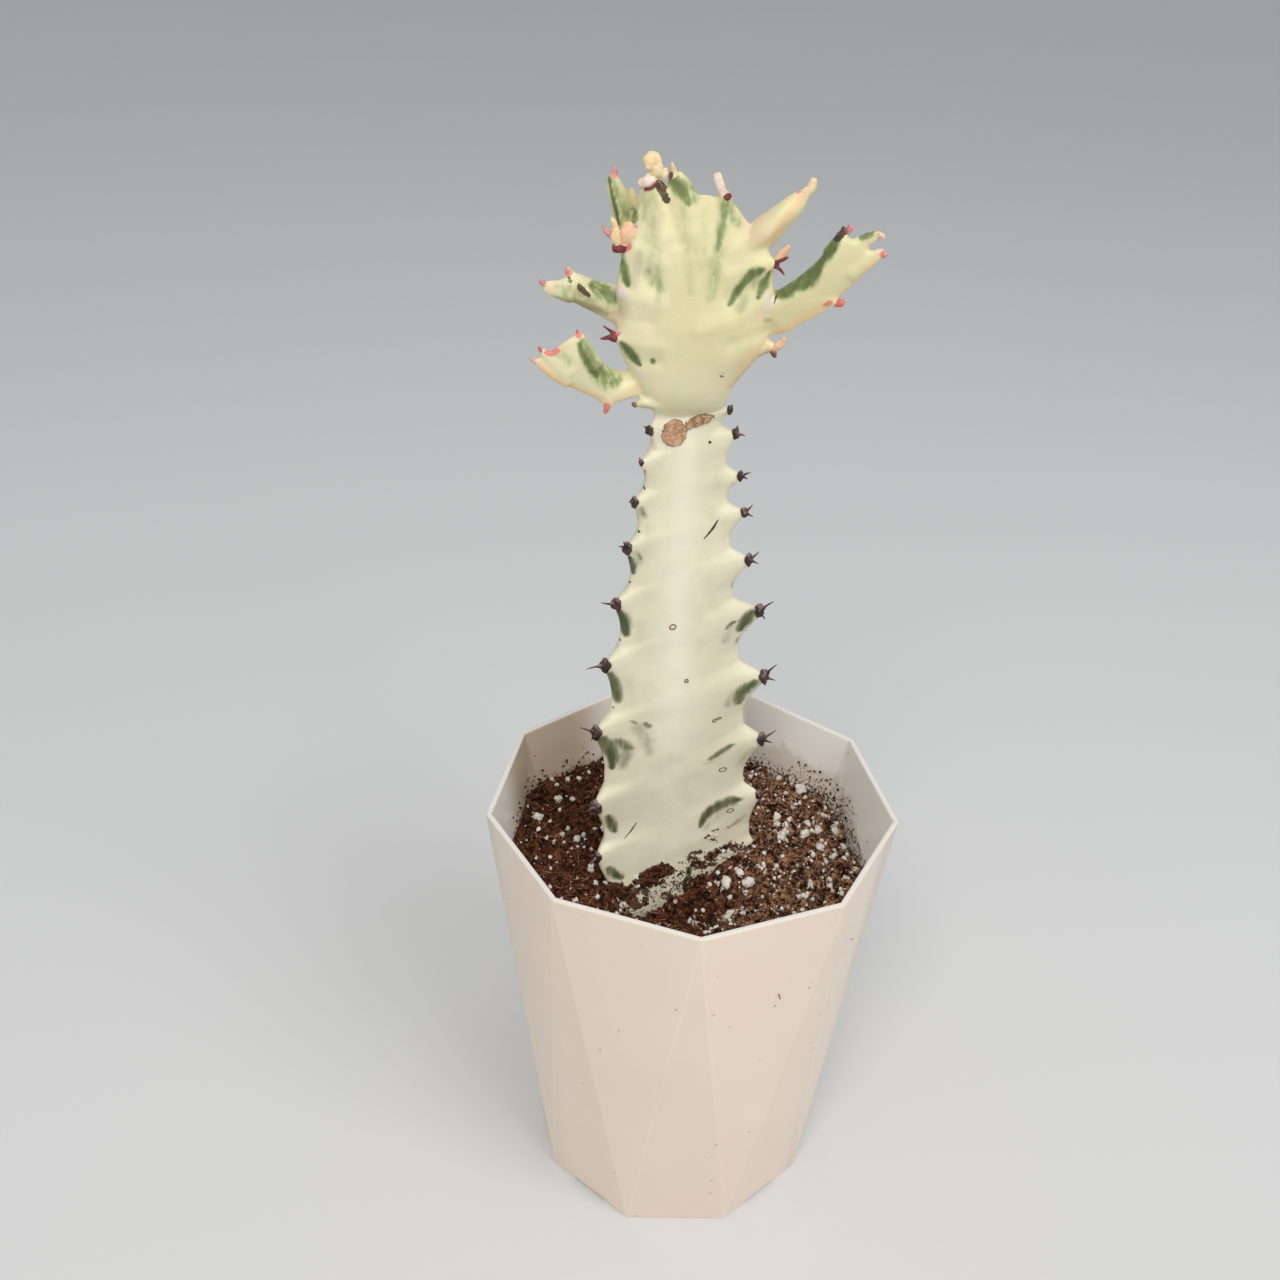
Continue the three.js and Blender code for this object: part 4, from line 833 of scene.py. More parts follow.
def turned(count, rng, lying=0.0):
    """Random turns; lying ones keep their own z axis nearly upright."""
    axes = rng.normal(size=(count, 3))
    axes[:, 2] = axes[:, 2] * (1 - lying) + 4 * lying
    up = axes / np.linalg.norm(axes, axis=1)[:, None]
    side = rng.normal(size=(count, 3))
    side -= up * (side * up).sum(axis=1)[:, None]
    side /= np.linalg.norm(side, axis=1)[:, None]
    return np.stack([side, np.cross(up, side), up], axis=2)


def scattered(name, shapes, places, sizes, turns, rng):
    """One mesh of many copies of a few shapes, each with its own place, size and turn."""
    which = rng.integers(len(shapes), size=len(places))
    vertices, faces, count = [], [], 0
    for index, shape in enumerate(shapes):
        mine = which == index
        base = coordinates(shape)
        triangles = np.array([tuple(p.vertices) for p in shape.data.polygons])
        moved = np.einsum("kij,nj->kni", turns[mine], base)
        moved = moved * sizes[mine][:, None, None] + places[mine][:, None, :]
        offsets = count + np.arange(mine.sum()) * len(base)
        vertices.append(moved.reshape(-1, 3))
        faces.append((triangles[None] + offsets[:, None, None]).reshape(-1, triangles.shape[1]))
        count += mine.sum() * len(base)
    for shape in shapes:
        bpy.data.objects.remove(shape)
    return mesh_piece(name, np.concatenate(vertices), np.concatenate(faces))


def lump_shapes(name, count, detail, grain, height, squash=(1, 1, 1), basis="BLENDER_ORIGINAL"):
    shapes = []
    for index in range(count):
        clear_selection()
        bpy.ops.mesh.primitive_ico_sphere_add(subdivisions=detail, radius=1)
        lump = bpy.context.object
        lump.name = f"{name}_{index}"
        roughen(lump, grain, height, shift=3.7 * (index + 1), basis=basis)
        bpy.ops.transform.resize(value=squash)
        bpy.ops.object.transform_apply(location=False, rotation=False, scale=True)
        shapes.append(lump)
    return shapes


def rib_rows(heights):
    """Edge points of the three ribs and their outward ways, at one height for each rib and row."""
    edges, ways = [], []
    for index, h in enumerate(heights):
        here = np.stack([np.column_stack([along(rib["edge"], h), h]) for rib in RIBS])
        way = here[index] - here.mean(axis=0)
        edges.append(here[index])
        ways.append(way / np.linalg.norm(way, axis=1)[:, None])
    return np.stack(edges), np.stack(ways)


def stem_rows():
    """Heights and tooth reaches on every rib, row by row down the old stem."""
    guide = RIBS[0]["heights"]
    last = len(guide) - 1
    marks_z = np.array([NECK_TOP, *guide, STEM_FOOT], float)
    marks_index = np.array([NECK_INDEX, *range(last + 1), last + 1], float)
    rows = int((NECK_TOP - STEM_FOOT) / ROW_SPACING)
    index = np.interp(-np.linspace(NECK_TOP, STEM_FOOT, rows + 1), -marks_z, marks_index)
    kernel = np.exp(-0.5 * (np.arange(-4, 5) / TOOTH_BLUR) ** 2)
    kernel /= kernel.sum()
    heights, reaches = [], []
    for rib in RIBS:
        stops = np.array([NECK_TOP, *rib["heights"], STEM_FOOT], float)
        heights.append(np.interp(index, marks_index, stops))
        reach = np.array([*rib["reach"], 0], float)
        k = np.clip(np.floor(index), 0, last).astype(int)
        u = index - k
        hollow = np.clip(1 - (u - TIP_BLUNT) / UNDERSIDE_SHARE, 0, 1) ** UNDERSIDE_HOLLOW
        tooth = reach[k] * hollow + reach[np.minimum(k + 1, last)] * smoothly(*TOP_SIDE, u)
        tooth = np.where(index < 0, reach[0] * smoothly(-0.5, 0, index), tooth)
        tooth[index >= last] *= 0
        blurred = np.convolve(np.pad(tooth, 4, mode="edge"), kernel, mode="valid")
        reaches.append(blurred * TOOTH_GAIN)
    return heights, np.stack(reaches)


def knob_seats():
    """Place, outward way and size of every knob, with its rib and its number from the top."""
    seats = []
    for r, rib in enumerate(RIBS):
        edges, ways = rib_rows([np.asarray(rib["heights"], float)] * 3)
        for k, reach in enumerate(rib["reach"]):
            size = KNOB_SIZES[r][k]
            if reach > 0 and size > 0:
                seats.append((edges[r][k] + ways[r][k] * reach, ways[r][k], size, r, k))
    return seats


def soil_height(x, y):
    lumps = np.sin(0.42 * x + 1.3) * np.cos(0.37 * y - 0.4) + 0.6 * np.sin(0.83 * x - 0.61 * y)
    height = SOIL_LEVEL - 0.055 * x + 0.05 * y + 1.1 * lumps
    for dip_x, dip_y, across, along_y, deep in SOIL_DIPS:
        far = -(((x - dip_x) / across) ** 2) - ((y - dip_y) / along_y) ** 2
        height = height - deep * np.exp(far)
    return height


def pot_ring(height, inset):
    """The pot's section at this height, drawn in by the inset: eighteen points round the axis."""
    pot = bpy.context.scene.euphorbia_pot
    corner = np.arange(2 * POT_SIDES) * HALF_SIDE - math.pi / 2
    round_axis = np.stack([np.cos(corner), np.sin(corner)], axis=1)
    top = round_axis[::2] * (pot.rim_radius / MM - inset)
    low = round_axis[1::2] * (pot.foot_radius / MM - inset)
    up = np.asarray(height / (pot.height / MM))[..., None]
    ring = []
    for j in range(POT_SIDES):
        for m in (j, (j + 1) % POT_SIDES):
            ring.append(low[j] + (top[m] - low[j]) * up)
    return np.stack(ring, axis=-2)


def crossed(a, b):
    return a[..., 0] * b[..., 1] - a[..., 1] * b[..., 0]


def wall_distance(x, y, height, inset):
    """How far the drawn-in wall is from the axis, in the direction of x, y."""
    ring = pot_ring(height, inset)
    angle = np.arctan2(y, x)
    way = np.stack([np.cos(angle), np.sin(angle)], axis=-1)[..., None, :]
    side = np.roll(ring, -1, axis=-2) - ring
    spread = crossed(way, side)
    spread = np.where(np.abs(spread) < 1e-9, 1e-9, spread)
    far = crossed(ring, side) / spread
    on = crossed(ring, way) / spread
    good = (far > 0) & (on >= -1e-6) & (on <= 1 + 1e-6)
    return np.where(good, far, 1e9).min(axis=-1)


def on_soil(x, y):
    """Places on the soil's surface under these, in metres."""
    soil = bpy.data.objects["potting_mix"]
    spots = []
    for px, py in zip(x, y):
        above = Vector(in_metres((px, py, 130))[0])
        found, at, _, _ = soil.ray_cast(above, Vector((0, 0, -1)))
        spots.append(tuple(at if found else in_metres((px, py, soil_height(px, py)))[0]))
    return np.array(spots)


def soil_spots(rng, count):
    """Random places on the soil inside the pot's wall."""
    angle = rng.uniform(-math.pi, math.pi, count)
    level = np.full(count, SOIL_LEVEL)
    reach = wall_distance(np.cos(angle), np.sin(angle), level, SPOT_INSET)
    reach = reach * np.sqrt(rng.random(count))
    return on_soil(reach * np.cos(angle), reach * np.sin(angle))


def from_front(piece, x, z):
    """Where a line from the front meets the piece at this x and z, in metres."""
    start = Vector(in_metres((x, IN_FRONT, z))[0])
    found, at, _, _ = piece.ray_cast(start, Vector((0, 1, 0)))
    return at if found else None


def fading(far, soft):
    """1 inside a mark and 0 outside it, where its edge is at 1."""
    return 1 - smoothly(1 - 0.5 * soft, 1 + 0.5 * soft, far)


def brushed(co, points, soft):
    """How much of a brush stroke seen from the front covers each place, from 0 to 1."""
    points = np.array(points, float)
    line = through(points, np.linspace(0, 1, 33)) if len(points) > 1 else points
    share = np.zeros(len(co))
    reach = points[:, 2].max() * 2 + 0.5
    low, high = line[:, :2].min(axis=0) - reach, line[:, :2].max(axis=0) + reach
    near = ((co[:, (0, 2)] > low) & (co[:, (0, 2)] < high)).all(axis=1)
    far = np.full(near.sum(), 1e9)
    for x, z, wide in line:
        far = np.minimum(far, np.hypot(co[near, 0] - x, co[near, 2] - z) / wide)
    share[near] = fading(far, soft)
    return share


def spotted(co, place, long, wide, tilt, soft):
    """How much of an oval mark at this place covers each vertex, from 0 to 1."""
    d = co - place
    turn = math.radians(tilt)
    run = (d[:, 0] * math.cos(turn) + d[:, 2] * math.sin(turn)) / long
    rise = (d[:, 2] * math.cos(turn) - d[:, 0] * math.sin(turn)) / wide
    far = np.sqrt(run ** 2 + rise ** 2 + (d[:, 1] / max(4, 1.5 * wide)) ** 2)
    return fading(far, soft)


def paint(piece, marks, extra):
    """Writes the marks' strengths on the skin into colour attributes, three kinds in each."""
    co = in_millimetres(piece)
    front = smoothly(0.4, 0.05, normals(piece)[:, 1])
    value = {kind: np.zeros(len(co)) for group in CHANNELS for kind in group}

    def lay(kind, amount):
        value[kind] = np.maximum(value[kind], amount)

    for kind, strokes in STROKES.items():
        for strength, *points in strokes:
            lay(kind, brushed(co, points, SOFTNESS[kind]) * strength * front)
    for kind, *shape, strength in marks:
        lay(kind, spotted(co, *shape, SOFTNESS[kind]) * strength)
    for kind, amount in extra.items():
        lay(kind, amount)
    for number, group in enumerate(CHANNELS):
        attribute = piece.data.attributes.new(f"marks_{number}", "FLOAT_COLOR", "POINT")
        colours = np.column_stack([value[kind] for kind in group] + [np.ones(len(co))])
        attribute.data.foreach_set("color", colours.astype(np.float32).ravel())


def node(tree, kind, inputs=None, **settings):
    new = tree.nodes.new(kind)
    for key, value in settings.items():
        setattr(new, key, value)
    for key, value in (inputs or {}).items():
        if isinstance(value, bpy.types.NodeSocket):
            tree.links.new(value, new.inputs[key])
        else:
            new.inputs[key].default_value = value
    return new


def four(colour):
    return (*colour[:3], 1.0)


def mixed(tree, factor, a, b):
    """Goes from a to b with the factor; both are sockets or plain colours."""
    a, b = [c if isinstance(c, bpy.types.NodeSocket) else four(c) for c in (a, b)]
    return node(tree, "ShaderNodeMix", {0: factor, 6: a, 7: b}, data_type="RGBA").outputs[2]


def layered(tree, colour, *layers):
    """Lays each colour over those before it by its mask."""
    for mask, tone in layers:
        colour = mixed(tree, mask, colour, tone)
    return colour


def maths(tree, operation, a, b=0.0, clamp=False):
    inputs = {0: a, 1: b}
    return node(tree, "ShaderNodeMath", inputs, operation=operation, use_clamp=clamp).outputs[0]


def plus(tree, a, b):
    return maths(tree, "ADD", a, b)


def minus(tree, a, b):
    return maths(tree, "SUBTRACT", a, b)


def times(tree, a, b):
    return maths(tree, "MULTIPLY", a, b)


def apart(tree, vector):
    return node(tree, "ShaderNodeSeparateXYZ", {0: vector}).outputs


def stretched(tree, where, scale):
    return node(tree, "ShaderNodeMapping", {"Vector": where, "Scale": scale}).outputs[0]


def ranged(tree, value, low, high, to_low=0.0, to_high=1.0):
    inputs = {0: value, 1: low, 2: high, 3: to_low, 4: to_high}
    return node(tree, "ShaderNodeMapRange", inputs, interpolation_type="SMOOTHSTEP").outputs[0]


def places_node(tree):
    return node(tree, "ShaderNodeTexCoord").outputs["Object"]


def clouds(tree, where, size, detail=3.0, rough=0.55):
    """A cloud pattern whose lumps are about this many millimetres across."""
    inputs = {"Vector": where, "Scale": 1000 / size, "Detail": detail, "Roughness": rough}
    return node(tree, "ShaderNodeTexNoise", inputs).outputs["Fac"]


def group(name, inputs, outputs):
    tree = bpy.data.node_groups.new(name, "ShaderNodeTree")
    for way, sockets in (("INPUT", inputs), ("OUTPUT", outputs)):
        for label, kind in sockets.items():
            tree.interface.new_socket(name=label, in_out=way, socket_type="NodeSocket" + kind)
    return tree, node(tree, "NodeGroupInput").outputs, node(tree, "NodeGroupOutput").inputs


def material(name):
    new = bpy.data.materials.new(name)
    new.use_nodes = True
    return new, new.node_tree, new.node_tree.nodes["Principled BSDF"]


def placed(tree, made, **values):
    """Puts a node group into a material with its own values."""
    new = tree.nodes.new("ShaderNodeGroup")
    new.node_tree = made
    for label, value in values.items():
        new.inputs[label].default_value = value
    return new.outputs


def surfaced(tree, shader, colour, roughness, height, depth, gloss=0.5):
    """Links the colour, the roughness and a bump of this depth in metres, and sets the gloss."""
    bump = node(tree, "ShaderNodeBump", {"Height": height, "Strength": 1.0, "Distance": depth})
    tree.links.new(colour, shader.inputs["Base Color"])
    tree.links.new(roughness, shader.inputs["Roughness"])
    tree.links.new(bump.outputs[0], shader.inputs["Normal"])
    shader.inputs["Specular IOR Level"].default_value = gloss


def speckle_group():
    """Small dark specks and fine lumps for moulded or gritty surfaces."""
    found = bpy.data.node_groups.get("Specks")
    if found:
        return found
    tree, given, put = group("Specks", {"Size": "Float", "Share": "Float"}, {"Mask": "Float"})
    scale = maths(tree, "DIVIDE", 1000.0, given["Size"])
    inputs = {"Vector": places_node(tree), "Scale": scale}
    cells = node(tree, "ShaderNodeTexVoronoi", inputs).outputs
    near = ranged(tree, cells["Distance"], 0.22, 0.1)
    chance = node(tree, "ShaderNodeSeparateColor", {0: cells["Color"]}).outputs[0]
    chosen = maths(tree, "LESS_THAN", chance, given["Share"])
    tree.links.new(times(tree, near, chosen), put["Mask"])
    return tree


def speck_mask(tree, size, share):
    return placed(tree, speckle_group(), Size=size, Share=share)["Mask"]


def skin_group():
    """The marks on the plant's skin, laid over its own colour."""
    found = bpy.data.node_groups.get("Skin marks")
    if found:
        return found
    plant = bpy.context.scene.euphorbia_plant
    tree, given, put = group(
        "Skin marks",
        {"Skin": "Color", "Shade": "Color", "Tint": "Color", "Leaf": "Color", "Depth": "Float"},
        {"Color": "Color", "Roughness": "Float", "Height": "Float"})
    where = places_node(tree)
    broad = clouds(tree, where, 16, 2)
    soft = clouds(tree, where, 5, 3)
    fine = clouds(tree, where, 1.1, 4, 0.6)
    grain = clouds(tree, where, 0.4, 3, 0.6)
    drawn = stretched(tree, where, (1, 1, 0.4))
    streak = clouds(tree, drawn, 1.3, 3, 0.6)
    patch = clouds(tree, drawn, 2.2, 3, 0.6)
    wipe = clouds(tree, stretched(tree, where, (0.35, 1, 1)), 1.6, 4, 0.65)
    masks = {}
    for number, kinds in enumerate(CHANNELS):
        read = node(tree, "ShaderNodeAttribute", attribute_name=f"marks_{number}")
        parts = node(tree, "ShaderNodeSeparateColor", {0: read.outputs["Color"]})
        masks.update(zip(kinds, parts.outputs))

    def broken(kind, pattern, amount):
        return times(tree, masks[kind], ranged(tree, pattern, 0.3, 0.7, 1 - amount, 1 + amount))

    def uneven(kind, *patterns):
        value = masks[kind]
        for pattern, height in patterns:
            value = plus(tree, value, ranged(tree, pattern, 0.34, 0.66, -height, height))
        return value

    def faint(kind, amount):
        strength = ranged(tree, soft, 0.2, 0.75, amount * 0.6, amount)
        return maths(tree, "MULTIPLY", masks[kind], strength, clamp=True)

    crust = uneven("cork", (soft, 0.05), (fine, 0.075), (grain, 0.03))
    bark = layered(
        tree, mixed(tree, ranged(tree, fine, 0.4, 0.6), (0.53, 0.285, 0.145), (0.72, 0.47, 0.3)),
        (ranged(tree, grain, 0.52, 0.7, 0, 0.4), (0.36, 0.16, 0.08)),
        (ranged(tree, crust, 0.44, 0.36, 0, 0.8), (0.26, 0.115, 0.055)))
    corky = ranged(tree, crust, 0.3, 0.36)
    clod = plus(tree, times(tree, fine, 0.75), times(tree, soft, 0.25))
    dust = plus(tree, clod, times(tree, masks["dirt"], 0.2))
    earthy = ranged(tree, masks["dirt"], 0.02, 0.2)
    earthy = times(tree, ranged(tree, dust, 0.62, 0.68), earthy)
    earth = mixed(tree, grain, (0.05, 0.022, 0.012), (0.2, 0.1, 0.055))
    colour = layered(
        tree, given["Skin"],
        (ranged(tree, broad, 0.35, 0.7, 0, 0.5), given["Shade"]),
        (ranged(tree, soft, 0.5, 0.8, 0, 0.45), given["Shade"]),
        (ranged(tree, wipe, 0.45, 0.75, 0, 0.3), given["Shade"]),
        # The pale marks: a pale tone on the head, and on the old stem a painted highlight and painted
        # light.
        (faint("pale", 0.75), plant.pale),
        (faint("peach", 0.85), plant.peach),
        (faint("pink", 0.8), plant.blush),
        (faint("lilac", 0.85), (0.82, 0.67, 0.67)),
        (ranged(tree, broken("grey", patch, 0.35), 0, 1.2, 0, 0.8), plant.grey_green),
        (faint("olive", 0.85), (0.2, 0.165, 0.07)),
        (ranged(tree, broken("green", streak, 0.4), 0, 0.7, 0, 0.85), given["Tint"]),
        (ranged(tree, broken("green", streak, 0.3), 0.35, 1.0, 0, 0.88), given["Leaf"]),
        (ranged(tree, broken("green", patch, 0.35), 0.6, 1.2, 0, given["Depth"]), plant.green),
        (ranged(tree, uneven("red", (fine, 0.1)), 0.15, 0.95, 0, 0.9), (0.72, 0.19, 0.15)),
        (ranged(tree, uneven("scab", (streak, 0.2), (fine, 0.25)), 0.4, 0.65), (0.1, 0.065, 0.025)),
        (corky, bark),
        (earthy, earth),
        (ranged(tree, uneven("dark", (fine, 0.08)), 0.35, 0.8), (0.045, 0.04, 0.022)))
    tree.links.new(colour, put["Color"])
    dry = maths(tree, "MAXIMUM", corky, earthy)
    dull = plus(tree, dry, times(tree, fine, 0.12))
    tree.links.new(ranged(tree, dull, 0, 1, 0.42, 0.95), put["Roughness"])
    rough = times(tree, grain, plus(tree, times(tree, dry, 1.4), 0.1))
    rough = plus(tree, rough, times(tree, wipe, 0.04))
    tree.links.new(plus(tree, rough, times(tree, soft, 0.35)), put["Height"])
    return tree


def skin_material(name, skin, shade, tint, leaf, depth):
    new, tree, shader = material(name)
    marks = placed(tree, skin_group(), Skin=four(skin), Shade=four(shade), Tint=four(tint),
                   Leaf=four(leaf), Depth=depth)
    surfaced(tree, shader, marks["Color"], marks["Roughness"], marks["Height"], 0.0004, 0.42)
    shader.inputs["Subsurface Weight"].default_value = 0.18
    shader.inputs["Subsurface Radius"].default_value = (1.0, 0.7, 0.35)
    shader.inputs["Subsurface Scale"].default_value = 0.0016
    return new


def pot_material(name, highlight_gain=1.0):
    """Moulded plastic, with dirt washed and splashed up the inside of the wall; the inner walls and
    the top of the rim are painted paler as painted light, and a highlight gain above one gives the
    creases' painted highlight.
    """
    pot = bpy.context.scene.euphorbia_pot
    new, tree, shader = material(name)
    where = places_node(tree)
    across, back, up = apart(tree, where)
    tall = times(tree, up, 1000.0)
    over = minus(tree, tall, DIRT_LINE)
    normal = node(tree, "ShaderNodeNewGeometry").outputs["Normal"]
    flat = node(tree, "ShaderNodeCombineXYZ", {0: across, 1: back}).outputs[0]
    facing = node(tree, "ShaderNodeVectorMath", {0: flat, 1: normal}, operation="DOT_PRODUCT")
    inside = maths(tree, "LESS_THAN", facing.outputs["Value"], -0.01)
    bearing = maths(tree, "ARCTAN2", back, across)
    right, left = [
        ranged(tree, maths(tree, "ABSOLUTE", minus(tree, bearing, middle)), far, near)
        for middle, far, near in ((DIRT_RIGHT, 0.75, 0.25), (DIRT_LEFT, 0.6, 0.2))]
    blotch = clouds(tree, where, 6, 5, 0.65)
    grit = clouds(tree, where, 0.8, 4, 0.7)
    reach = plus(tree, times(tree, right, 8.0), times(tree, left, 3.0))
    reach = plus(tree, reach, times(tree, minus(tree, blotch, 0.5), 16.0))
    wash = times(tree, ranged(tree, minus(tree, over, reach), 2.5, -1.5), inside)
    height = times(tree, plus(tree, plus(tree, right, left), 0.4), 7.0)
    height = maths(tree, "DIVIDE", over, height)
    splash = minus(tree, grit, ranged(tree, height, 0, 1, 0.5, 0.74))
    splash = times(tree, ranged(tree, splash, 0.0, 0.03), inside)
    rim = pot.height / MM
    # Painted highlight: the upward-facing top of the rim is painted paler.
    top = times(tree, ranged(tree, tall, rim - 0.9, rim - 0.5),
                ranged(tree, apart(tree, normal)[2], 0.3, 0.8))
    colour = layered(
        # A highlight gain above one makes a lighter copy of the plastic, the painted highlight of the
        # creases.
        tree, [c * highlight_gain for c in pot.colour],
        (ranged(tree, clouds(tree, where, 30, 2), 0.3, 0.7, 0, 0.35), pot.shade),
        # Painted light: the inner walls take the paler inner colour for light bouncing inside and
        # shining through the thin plastic; towards the back left they go to a darker tone instead.
        (inside, mixed(tree, left, pot.inner, [c * 0.85 for c in pot.shade])),
        (times(tree, wash, 0.34), (0.5, 0.35, 0.22)),
        (splash, (0.06, 0.026, 0.015)),
        (times(tree, speck_mask(tree, 2.2, 0.03), 0.6), (0.2, 0.15, 0.11)),
        (top, (0.8, 0.75, 0.69)))
    scuff = plus(tree, clouds(tree, where, 12, 3, 0.5), splash)
    surfaced(tree, shader, colour, ranged(tree, scuff, 0.3, 1.3, 0.2, 0.4),
             clouds(tree, where, 22, 1, 0.4), 0.0001)
    return new


def soil_material(name, dark, light, size=2.4):
    new, tree, shader = material(name)
    where = places_node(tree)
    tone = clouds(tree, where, size, 4, 0.7)
    grain = clouds(tree, where, 0.5, 3, 0.6)
    # Paler and dustier towards the right: partly perlite dust, partly painted light that brightens
    # the right side of the soil.
    dust_and_painted_light = ranged(tree, apart(tree, where)[0], 0.0, 0.026, 0.0, 0.9)
    dust_and_painted_light = times(tree, dust_and_painted_light, ranged(tree, tone, 0.43, 0.65))
    colour = layered(
        tree, dark,
        (ranged(tree, tone, 0.4, 0.62), light),
        (ranged(tree, grain, 0.48, 0.66, 0, 0.75), (0.008, 0.004, 0.003)),
        (dust_and_painted_light, (0.48, 0.27, 0.155)),
        (speck_mask(tree, 1.3, 0.08), (0.66, 0.57, 0.48)))
    surfaced(tree, shader, colour, ranged(tree, grain, 0, 1, 0.75, 1.0), grain, 0.0005, 0.12)
    return new


def perlite_material():
    new, tree, shader = material("perlite")
    where = places_node(tree)
    pores = clouds(tree, where, 0.5, 4, 0.7)
    colour = layered(
        tree, (0.98, 0.94, 0.87),
        (ranged(tree, clouds(tree, where, 2.6, 3), 0.35, 0.7), (0.9, 0.79, 0.68)),
        (ranged(tree, pores, 0.62, 0.8, 0, 0.4), (0.3, 0.17, 0.12)))
    surfaced(tree, shader, colour, ranged(tree, pores, 0, 1, 0.7, 0.95), pores, 0.0006)
    return new


def flesh_material(name, colour, other, size=1.2, roughness=0.45, gloss=0.45, top=None):
    """Young tissue or hard old thorn: two tones in fine clouds, and a paler upper side on horn,
    painted as a highlight.
    """
    new, tree, shader = material(name)
    where = places_node(tree)
    tone = clouds(tree, where, size, 3, 0.6)
    skin = mixed(tree, ranged(tree, tone, 0.4, 0.66), colour, other)
    # Painted highlight: faces turned upwards are mixed towards the top colour.
    if top:
        up = apart(tree, node(tree, "ShaderNodeNewGeometry").outputs["Normal"])[2]
        uneven = plus(tree, up, times(tree, minus(tree, tone, 0.5), 2.2))
        skin = mixed(tree, ranged(tree, uneven, 0.3, 1.1), skin, top)
    surfaced(tree, shader, skin, ranged(tree, tone, 0.3, 0.7, roughness, roughness + 0.2),
             clouds(tree, where, 0.45, 3, 0.6), 0.00025, gloss)
    return new


def colour_setting(name, description, default):
    return bpy.props.FloatVectorProperty(name=name, description=description, default=default,
                                         subtype="COLOR", min=0, max=1)


def size_setting(name, description, default):
    """A length; the default is in millimetres."""
    return bpy.props.FloatProperty(name=name, description=description, default=default * MM,
                                   unit="LENGTH", min=0)


def count_setting(name, description, default):
    return bpy.props.IntProperty(name=name, description=description, default=default)


def power_setting(name, description, default):
    return bpy.props.FloatProperty(name=name, description=description, default=default)


class EuphorbiaPotSettings(bpy.types.PropertyGroup):
    height: size_setting("Height", "Height of the pot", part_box("pot")[1].z / MM)
    rim_radius: size_setting("Rim radius", "From the axis to a corner of the rim", RIM_RADIUS)
    foot_radius: size_setting("Foot radius", "From the axis to a corner of the foot", FOOT_RADIUS)
    wall: size_setting("Wall", "Thickness of the wall", POT_WALL)
    edge: size_setting("Edge", "Width of the rounding along the creases", CREASE)
    colour: colour_setting("Colour", "Plain colour of the plastic", (0.85, 0.71, 0.58))
    # The paler inside is painted light on the inner walls.
    inner: colour_setting("Inside", "Paler colour of the inner walls", (0.97, 0.93, 0.88))
    shade: colour_setting("Second tone", "Slight second tone of the plastic", (0.80, 0.65, 0.52))


class EuphorbiaSoilSettings(bpy.types.PropertyGroup):
    dark: colour_setting("Dark", "Dark tone of the soil", (0.016, 0.006, 0.0035))
    light: colour_setting("Light", "Light tone of the soil", (0.19, 0.062, 0.027))
    relief: size_setting("Relief", "Height of the small lumps", 2.8)
    crumbs: count_setting("Crumbs", "How many loose crumbs lie on the soil", 3400)
    fibres: count_setting("Fibres", "How many coir fibres lie on the soil", 2600)
    specks: count_setting("White specks", "How many small white grains", 1300)


class EuphorbiaPlantSettings(bpy.types.PropertyGroup):
    old_skin: colour_setting("Old skin", "Colour of the old stem", (0.80, 0.745, 0.55))
    old_shade: colour_setting(
        "Old skin, second tone", "Greyer tone of the old stem", (0.66, 0.62, 0.45))
    young_skin: colour_setting("Young skin", "Colour of the head", (0.80, 0.725, 0.42))
    young_shade: colour_setting(
        "Young skin, second tone", "Greener tone of the head", (0.64, 0.605, 0.34))
    green: colour_setting("Green", "Dark green of the marks", (0.052, 0.064, 0.024))
    grey_green: colour_setting(
        "Grey green", "Soft grey-green of the patches", (0.25, 0.245, 0.145))
    pale_green: colour_setting(
        "Pale green", "Light green at the edges of the marks", (0.36, 0.42, 0.19))
    leaf_green: colour_setting(
        "Leaf green", "Middle green of the head's marks", (0.16, 0.20, 0.06))
    old_green: colour_setting(
        "Old green", "Middle green of the old stem's marks", (0.155, 0.168, 0.078))
    # The pale colour also makes the painted highlight down the stem's middle.
    pale: colour_setting("Pale band", "Colour along the middle of the stem", (0.90, 0.84, 0.66))
    blush: colour_setting("Blush", "Pink of the joints", (0.80, 0.54, 0.42))
    peach: colour_setting("Peach", "Peach of the young edges", (0.86, 0.56, 0.28))
    cell: size_setting("Fineness", "Size of the small faces of the head's skin", 0.42)


class EuphorbiaStageSettings(bpy.types.PropertyGroup):
    floor: colour_setting("Floor", "Colour of the floor", (0.72, 0.72, 0.71))
    key: power_setting("Key light", "Strength of the main light, in watts", 6.6)
    fill: power_setting("Fill light", "Strength of the second light, in watts", 6.0)
    sky: power_setting("Surroundings", "Strength of the even light", 0.5)


